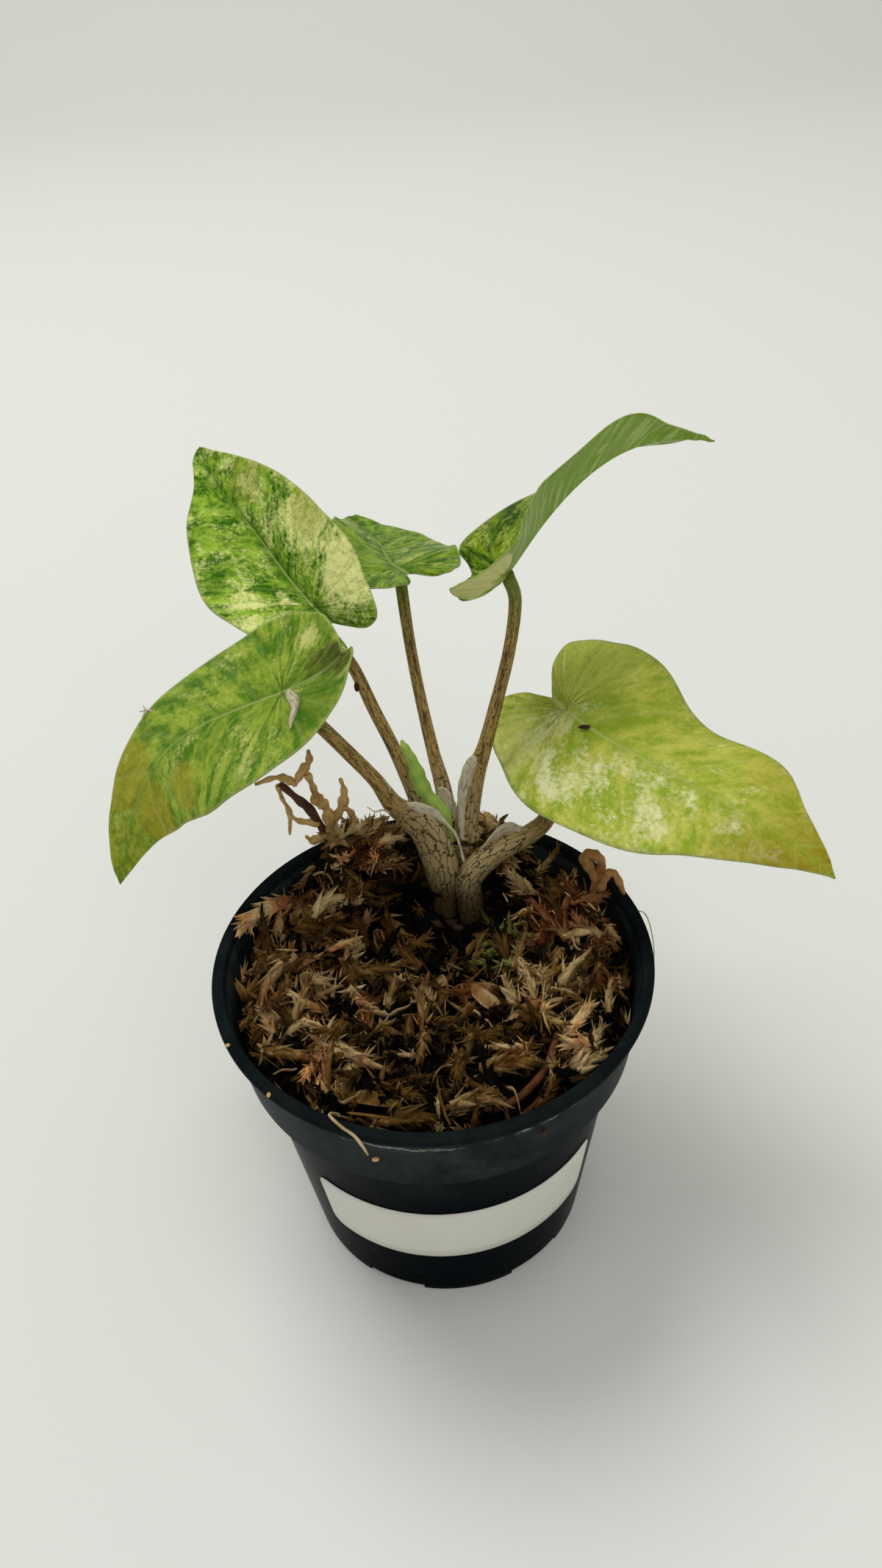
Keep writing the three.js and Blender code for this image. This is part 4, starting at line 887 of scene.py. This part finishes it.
def tube(form, rows, sides, per_row, across, end_up=None, knobs=0.0):
    """A closed stem of elliptical rings along rows of (x, y, z, half width, half depth)"""
    layer = form.verts.layers.float_vector.get("stem") or form.verts.layers.float_vector.new("stem")
    count = round((len(rows) - 1) * per_row)
    rings, travelled, before = [], 0.0, None
    for k in range(count + 1):
        u = k / per_row
        row = smooth(rows, u)
        ahead, behind = Vector(smooth(rows, u + 0.05)[:3]), Vector(smooth(rows, u - 0.05)[:3])
        travel = (ahead - behind).normalized()
        if end_up:
            travel = travel.lerp(end_up, min(max(u - (len(rows) - 2), 0), 1)).normalized()
        wide = (across - travel * across.dot(travel)).normalized()
        centre = Vector(row[:3])
        travelled += (centre - before).length if before else 0
        before = centre
        swell = 1 + knobs * sin(5.3 * u + rows[0][0]) * sin(2.1 * u + 1)
        rings.append((centre, wide * row[3] * swell, travel.cross(wide) * row[-1] * swell, travelled, row[3]))
    fresh = bmesh.ops.create_grid(form, x_segments=sides, y_segments=count, size=1)["verts"]
    for vert in fresh:
        turn = pi * (vert.co.x + 1)
        centre, wide, deep, length, radius = rings[round((vert.co.y + 1) / 2 * count)]
        vert.co = centre + wide * cos(turn) + deep * sin(turn)
        vert[layer] = (radius * cos(turn), radius * sin(turn), length)
    bmesh.ops.remove_doubles(form, verts=fresh, dist=1e-4)
    bmesh.ops.holes_fill(form, edges=[e for e in form.edges if e.is_boundary], sides=sides + 2)
    bmesh.ops.recalc_face_normals(form, faces=form.faces)


def stalk_skin():
    """Waxy beige skin: long brown streaks above, a net of fine dark veins on the pale sheath at
    the foot, darker towards the bottom where it leaves the moss, green close under the blade"""
    add, surface = new_material("waxy streaked stalk skin")
    stem = add("Attribute", out="Vector", attribute_name="stem")
    height = add("SeparateXYZ", (add("TexCoord", out="Object"),), out="Z")
    parts = add("SeparateXYZ", (stem,)).node.outputs
    long_grain = add("TexNoise", (add("Mapping", {"Vector": stem, "Scale": (1.9, 1.9, 0.22)}), 1, 5, 0.68))
    dashes = add("TexNoise", (add("Mapping", {"Vector": stem, "Scale": (3.4, 3.4, 1.1),
            "Location": (3, 1, 7)}), 1, 2, 0.5))
    streaks = add("MapRange", (long_grain, 0.48, 0.62, 0, 0.85))
    ticks = add("MapRange", (dashes, 0.57, 0.63, 0, 0.85))
    dark_here = add("Math", (streaks, ticks), "MAXIMUM")
    uneven = add("TexNoise", (stem, 0.9, 3), out="Color")
    warped = add("VectorMath", (uneven, (0.9, 0.9, 1.3), add("Mapping",
            {"Vector": stem, "Scale": (1.0, 1.0, 0.3)})), "MULTIPLY_ADD")
    net = add("TexVoronoi", (warped, 1), feature="DISTANCE_TO_EDGE")
    net_lines = add("MapRange", (net, 0.03, 0.085, 0.9, 0))
    gaps = add("MapRange", (dashes, 0.3, 0.38, 0.25))
    net_broken = add("Math", (net_lines, gaps), "MULTIPLY")
    sheath = add("MapRange", (parts[2], 26, 33, 1, 0))
    stalk_colour = add("Mix", (dark_here, "#AC8E52", "#2A1506"))
    sheath_colour = add("Mix", (net_broken, "#AE9868", "#1E0D05"))
    both = add("Mix", (sheath, stalk_colour, sheath_colour))
    # The skin is darker towards the bottom, where the stalk leaves the moss
    darker_foot_mask = add("MapRange", (height, 0.068, 0.076, 0.85, 0))
    darker_at_foot = add("Mix", (darker_foot_mask, both, "#2C1C0C"))
    fresh = add("Attribute", out="Fac", attribute_name="fresh")
    greened = add("Mix", (fresh, darker_at_foot, "#647E2A"))
    return surface(greened, 0.46, (long_grain, 0.35, 0.0003), {"Specular IOR Level": 0.12,
            "Subsurface Weight": 0.06, "Subsurface Scale": 0.001})


# The last millimetres under the blade turn green, over a short fade
GREEN_LENGTH, GREEN_FADE, GREEN_MOST = 14, 12, 0.7
STALK_SKIN = stalk_skin()
for letter, (heading, points) in STALKS.items():
    spine = spine_of(LEAVES[letter])
    under_blade = blade_point(LEAVES[letter], spine, 0, 0, -0.35)
    facing = radians(heading)
    form = bmesh.new()
    tube(form, [*points, (*under_blade, 1.5, 1.5)], 28, 8, Vector((-sin(facing), cos(facing), 0)),
         spine(0)[2])
    layer = form.verts.layers.float_vector["stem"]
    top = max(v[layer][2] for v in form.verts)
    fresh = [min(max((v[layer][2] - top + GREEN_LENGTH) / GREEN_FADE, 0), 1) * GREEN_MOST for v in form.verts]
    finish("stalk_" + letter, form, [STALK_SKIN], "stalk_skin", ["petiole_" + letter], fresh=fresh)

# The rolled young leaf: tender, light green and wavy, it grows out of the sheath of the second
# stalk and rises between the stalks, still furled round itself
ROOT_ACROSS = Vector((0.31, -0.87, 0.38))
NEW_LEAF = ((6, 28.6, 67, 0.9), (5.8, 29.2, 76, 1.1), (4.7, 30.6, 84, 1.6), (2.1, 32.3, 88.1, 1.6),
    (0.3, 33.8, 91.9, 1.5), (-0.8, 35.2, 95.9, 1.2), (-2.3, 36.6, 99, 0.9), (-3.1, 38, 100.6, 0.3))


def young_skin():
    """Tender light green tissue, still rolled: lengthwise folds and a soft sheen"""
    add, surface = new_material("tender rolled leaf")
    stem = add("Attribute", out="Vector", attribute_name="stem")
    folds = add("TexNoise", (add("Mapping", {"Vector": stem, "Scale": (1.6, 1.6, 0.16)}), 1, 4))
    tint = add("Mix", (folds, "#6A9620", "#B4C868"))
    return surface(tint, 0.38, (folds, 0.6, 0.0006), {"Specular IOR Level": 0.1})


form = bmesh.new()
tube(form, [(*row, row[3] * 1.15) for row in NEW_LEAF], 24, 8, ROOT_ACROSS, knobs=0.16)
finish("rolled_new_leaf", form, [young_skin()], "leaf", ["new_leaf"])

# The sheath edges: each stalk's foot wraps the next, and its thin free edge dries to a pale papery
# membrane that ends in a small tongue
SHEATH_EDGES = (
    ((-3, 29, 90.2, 0.3), (-1, 28.8, 89.4, 0.9), (1.3, 28.6, 88.3, 1), (3, 28.4, 87.2, 0.8),
     (5, 27.5, 85.2, 0.4), (7, 26.5, 82.8, 0.3), (7.9, 25.5, 79.8, 0.25), (8.5, 24.4, 76.4, 0.3)),
    ((12.4, 35.1, 97, 0.5), (11.2, 34.2, 94.8, 1.3), (10, 33.2, 91.4, 1.3), (9.2, 32.4, 88, 1),
     (8.8, 31.3, 83.7, 0.7), (8.7, 30.1, 79.4, 0.5), (9, 29, 76, 0.3)),
    ((4.4, 41.6, 84.1, 0.4), (5.3, 40.7, 82.9, 1.3), (6, 39.3, 81.3, 1.6), (6.6, 38, 79.5, 1.4),
     (7.1, 36.7, 77.7, 0.6)),
    ((12.4, 25.6, 78.5, 0.3), (14.6, 26.9, 80.1, 0.8), (17.2, 28.1, 81.3, 1.2), (19.6, 28.8, 81.6, 1),
     (21.6, 28.6, 80.6, 0.5)))


def papery_membrane():
    """Dead sheath edge: translucent, cream to flesh colour, crinkled, with a few brown flecks"""
    add, surface = new_material("dry papery membrane")
    place = add("TexCoord", out="Object")
    crinkle = add("TexNoise", (place, 520, 5, 0.7))
    nerves = add("TexNoise", (add("Mapping", {"Vector": add("Attribute", out="Vector",
            attribute_name="stem"), "Scale": (3.2, 3.2, 0.35)}), 1, 4, 0.6))
    plain = add("Mix", (crinkle, "#94845A", "#F0E8CC"))
    nerve_here = add("MapRange", (nerves, 0.52, 0.64, 0, 0.6))
    pale = add("Mix", (nerve_here, plain, "#5E4424"))
    flecks = add("MapRange", (crinkle, 0.36, 0.3, 0, 0.7))
    tint = add("Mix", (flecks, pale, "#4A2C16"))
    return surface(tint, 0.5, (crinkle, 0.7, 0.0004), {"Specular IOR Level": 0.2})


MEMBRANE = papery_membrane()
form = bmesh.new()
for rows in SHEATH_EDGES:
    tube(form, [(x, y, z, 1.15 * wide, 0.22) for x, y, z, wide in rows], 12, 6, Vector((0.66, 0.3, 0.68)),
            knobs=0.1)
finish("sheath_edges", form, [MEMBRANE], "stalk_skin")

# Dry bits on the moss: a branched dead root mass at the back left, a curled root against the right
# rim, a dark wiry stalk, a plump bleached sprig over the left rim and a pale root over the lip
TUFT = ((-29.5, 24.5, 67.5, 0.8), (-33, 19.5, 72.5, 1.5), (-36.5, 14.5, 74.8, 1.8), (-39, 10.5, 75.6, 1.4),
    (-40.6, 7.2, 75.4, 0.4))
STALK = ((24.5, -15, 66, 0.5), (23, -19.8, 68.6, 0.6), (20.3, -26.2, 68.6, 0.6), (16.2, -30.9, 67.8, 0.6),
    (11.8, -33.3, 66.8, 0.6), (5, -34.3, 65.4, 0.6), (1, -33.5, 63.6, 0.4))
STRAY_ROOT = ((-19.4, -33, 67.5, 0.4), (-20.3, -36, 72, 0.4), (-20.3, -38.5, 74.6, 0.4),
    (-18.2, -41, 74.6, 0.4), (-16, -42.9, 74.4, 0.4), (-14.6, -44.2, 72.8, 0.4), (-13.9, -44.5, 70.8, 0.25))
CURLED_ROOT = (
    ((35.5, 16, 68, 1.1), (36.7, 16.5, 74.8, 1.1), (35.2, 16.5, 78.4, 1.1), (33.9, 16.5, 81.4, 1.1),
     (34.6, 16.5, 82.9, 1.1), (36.3, 16.6, 82, 1), (37.5, 16.6, 80.2, 0.9), (37.2, 16.5, 77.6, 0.8)),
    ((35.6, 15.6, 67.5, 0.9), (36.9, 14.9, 73, 0.9), (37.7, 14, 77.4, 0.85), (38.5, 13.6, 79.6, 0.8),
     (39.6, 13.1, 79.9, 0.75), (40.8, 12.7, 77.3, 0.65), (41.7, 12.2, 74.6, 0.4)))
DRY_SPRIG = (
    ((-19, 32.5, 69, 0.9), (-21.3, 35.4, 76, 1.1), (-24.6, 36.9, 83.9, 1), (-27, 37.3, 87, 1),
     (-30.6, 38, 91.3, 0.7)),
    ((-27.3, 38, 90.6, 0.7), (-28.9, 37.9, 92.5, 0.8), (-31.6, 37.8, 93.2, 0.7), (-35.9, 37.5, 92, 0.3)),
    ((-27.3, 38, 90.6, 0.6), (-25.5, 38.2, 94, 0.8), (-23.6, 38.3, 96.5, 0.9), (-23.4, 38.5, 99.4, 0.3)),
    ((-24.3, 38, 93.4, 0.6), (-23.4, 37.6, 89.9, 0.8), (-22.8, 37.2, 86.7, 1.1), (-21.2, 36.8, 84.7, 1.3),
     (-20.4, 36, 80.5, 1.2), (-20.2, 35, 75.4, 1), (-18.6, 32.6, 69.5, 0.9)),
    ((-17.2, 37.5, 91.8, 0.3), (-16.7, 37.2, 88.6, 0.8), (-17.4, 36.8, 85.1, 0.9), (-19.6, 36.2, 81, 1)),
    ((-17.3, 36.8, 84.6, 0.7), (-15.7, 36.7, 82.5, 0.8), (-15.4, 36.4, 79.5, 0.9), (-16.2, 36, 76.8, 0.9),
     (-19, 35.8, 76.4, 0.9), (-21.9, 36, 76.8, 1), (-25.1, 36.1, 76, 0.8), (-26.5, 36, 77.4, 0.3)),
    ((-31, 38, 91, 0.5), (-30.7, 37.9, 87.5, 0.5), (-29.5, 37.7, 83.2, 0.5), (-30.2, 37.5, 77, 0.3)),
    ((-29.6, 37.6, 82.4, 0.5), (-27.1, 37.1, 80.9, 0.7), (-22.8, 36.4, 80.8, 0.8)))


def dried_root(name, pale, brown):
    """Dried root or stem: shrunken, dull and wrinkled lengthwise, browner in patches"""
    add, surface = new_material(name)
    stem = add("Attribute", out="Vector", attribute_name="stem")
    place = add("TexCoord", out="Object")
    wrinkle = add("TexNoise", (add("Mapping", {"Vector": stem, "Scale": (2.2, 2.2, 0.5)}), 1, 4, 0.65))
    cloud = add("TexNoise", (place, 240, 3))
    mixed = add("Math", (wrinkle, cloud), "MULTIPLY")
    dark_here = add("MapRange", (mixed, 0.1, 0.3))
    tint = add("Mix", (dark_here, brown, pale))
    return surface(tint, 0.6, (wrinkle, 0.7, 0.0004), {"Specular IOR Level": 0.12})


def make_roots(name, lists, material, stands_for, knobs, thicker=1):
    form = bmesh.new()
    for rows in lists:
        tube(form, [(*row[:3], row[3] * thicker, row[3] * thicker) for row in rows], 12, 6, ROOT_ACROSS,
             knobs=knobs)
    finish(name, form, [material], "dry_plant", stands_for)


PALE_ROOT = dried_root("dried pale root", "#DCB474", "#966834")
make_roots("dry_root_stem", DRY_SPRIG[:1], dried_root("dried dark stem", "#5B3B2E", "#2A1712"), (), 0.22)
make_roots("dry_root_sprig", DRY_SPRIG[1:], PALE_ROOT, ["dry_sprig"], 0.42, 1.1)
make_roots("curled_root_loops", CURLED_ROOT, dried_root("dried orange root", "#B88A54", "#8A542A"),
    ["curled_root"], 0.2, 1.12)
make_roots("pale_root_over_lip", [STRAY_ROOT], dried_root("bleached root", "#CDB68A", "#8E6C42"),
    ["stray_root"], 0.1, 0.7)
make_roots("wiry_stalk", [STALK], dried_root("wiry dark stalk", "#6A3E1E", "#2E170B"), ["moss_stalk"], 0.05,
    1.3)

TUFT_LENGTH = 24
tuft = sprig_shape(9, TUFT_LENGTH, 3.4, 44, 34)
for vert in tuft.vertices:
    u = vert.co.x / TUFT_LENGTH * (len(TUFT) - 1)
    travel = (Vector(smooth(TUFT, u + 0.05)[:3]) - Vector(smooth(TUFT, u - 0.05)[:3])).normalized()
    wide = travel.cross(Vector((0, 0, 1))).normalized()
    vert.co = Vector(smooth(TUFT, u)[:3]) + wide * vert.co.y + wide.cross(travel) * vert.co.z
form = bmesh.new()
form.from_mesh(tuft)
finish("plump_pale_sprig", form, [TAN_MOSS], "dry_plant", ["moss_tuft"], smooth=False,
       tone=[0.85] * len(form.verts))

# Small bits: a hair at the right rim, threads and a moss crumb on the stalks, a pale fallen scale on
# one leaf, a dark crumb on another, seeds and crumbs on the lip and the collar
THREADS = (
    ((41.5, 12, 68, 0.12), (44.9, 7, 73.9, 0.13), (46, 1.5, 71, 0.12), (45.4, -4, 66, 0.08)),
    ((-7.8, 30.1, 96.7, 0.08), (-6.6, 30.1, 94.9, 0.2), (-6.3, 30, 93.6, 0.3)),
    ((-11.4, 27.5, 91.3, 0.1), (-9.9, 27.6, 89.8, 0.15), (-8.2, 28.2, 89.6, 0.2), (-6.8, 28.2, 88.6, 0.2)),
    ((-60.6, 50.6, 104.6, 0.1), (-58.6, 51, 104.6, 0.25), (-57.4, 50, 104.9, 0.1)),
    ((-60, 52.6, 104.9, 0.1), (-59.2, 50.6, 104.9, 0.22), (-60, 49, 103.7, 0.1)))
SCALE_BIT = ((-24.2, 29.5, 120.6, 0.6), (-24.1, 28, 120.9, 1.05), (-23.2, 25.2, 121, 1.15),
    (-23, 22.6, 120.9, 0.75), (-23.6, 20.2, 120.2, 0.55), (-23.9, 17.9, 119.7, 0.2))
CRUMBS = (("pale", (-40.2, -19.6, 73.6), (0.5, 0.4, 0.3)), ("pale", (-31.7, -32, 73.6), (0.4, 0.6, 0.25)),
    ("pale", (-12.8, -43.6, 68), (0.7, 0.4, 0.5)), ("dark", (18, -39, 65.5), (0.45, 0.5, 0.8)),
    ("dark", (35.4, 31.2, 105.4), (1.3, 0.7, 0.3)), ("dark", (-12.4, 54.8, 104.2), (0.6, 0.7, 1.3)),
    ("dark", (6, -40.4, 61), (0.3, 0.3, 0.4)), ("pale", (-24, -32.8, 62), (0.3, 0.3, 0.5)))
FIBRES, FIBRE_REACH, FIBRE_WIDTHS = 95, 37, (0.12, 0.34, 0.42, 0.38, 0.28, 0.1)
draw = random.Random(61)
form, tones = bmesh.new(), []
for k in range(FIBRES):
    reach, around = FIBRE_REACH * sqrt(draw.random()), draw.uniform(0, tau)
    x, y, heading = reach * cos(around), reach * sin(around), draw.uniform(0, tau)
    turn, rise, rows = draw.uniform(-0.75, 0.75), draw.uniform(0.8, 2.4), []
    while len(rows) < len(FIBRE_WIDTHS) and hypot(x, y) < MOSS_EDGE - 1 and hypot(x - 3, y - 22) > 13:
        rows.append((x, y, moss_height(x, y) + rise + 1.1 * sin(1.4 * len(rows) + k),
                     FIBRE_WIDTHS[len(rows)], 0.1))
        heading += turn
        x, y = x + 1.9 * cos(heading), y + 1.9 * sin(heading)
    if len(rows) > 3:
        tube(form, rows, 5, 3, Vector((0.3, 0.1, 0.95)))
        tones += [draw.uniform(0.5, 1.0)] * (len(form.verts) - len(tones))
finish("moss_fibres", form, [TAN_MOSS], "moss", tone=tones)
make_roots("loose_threads", THREADS, MEMBRANE, (), 0.1)
make_roots("fallen_scale", [SCALE_BIT], MEMBRANE, (), 0.05)
for kind, material in (("pale", PALE_ROOT), ("dark", dried_root("dark moss crumb", "#4A2E18", "#160C06"))):
    form = bmesh.new()
    for colour, place, size in CRUMBS:
        if colour == kind:
            bmesh.ops.create_icosphere(form, subdivisions=2, radius=1,
                                       matrix=Matrix.Translation(place) @ Matrix.Diagonal((*size, 1)))
    finish(kind + "_crumbs", form, [material], "dry_plant")
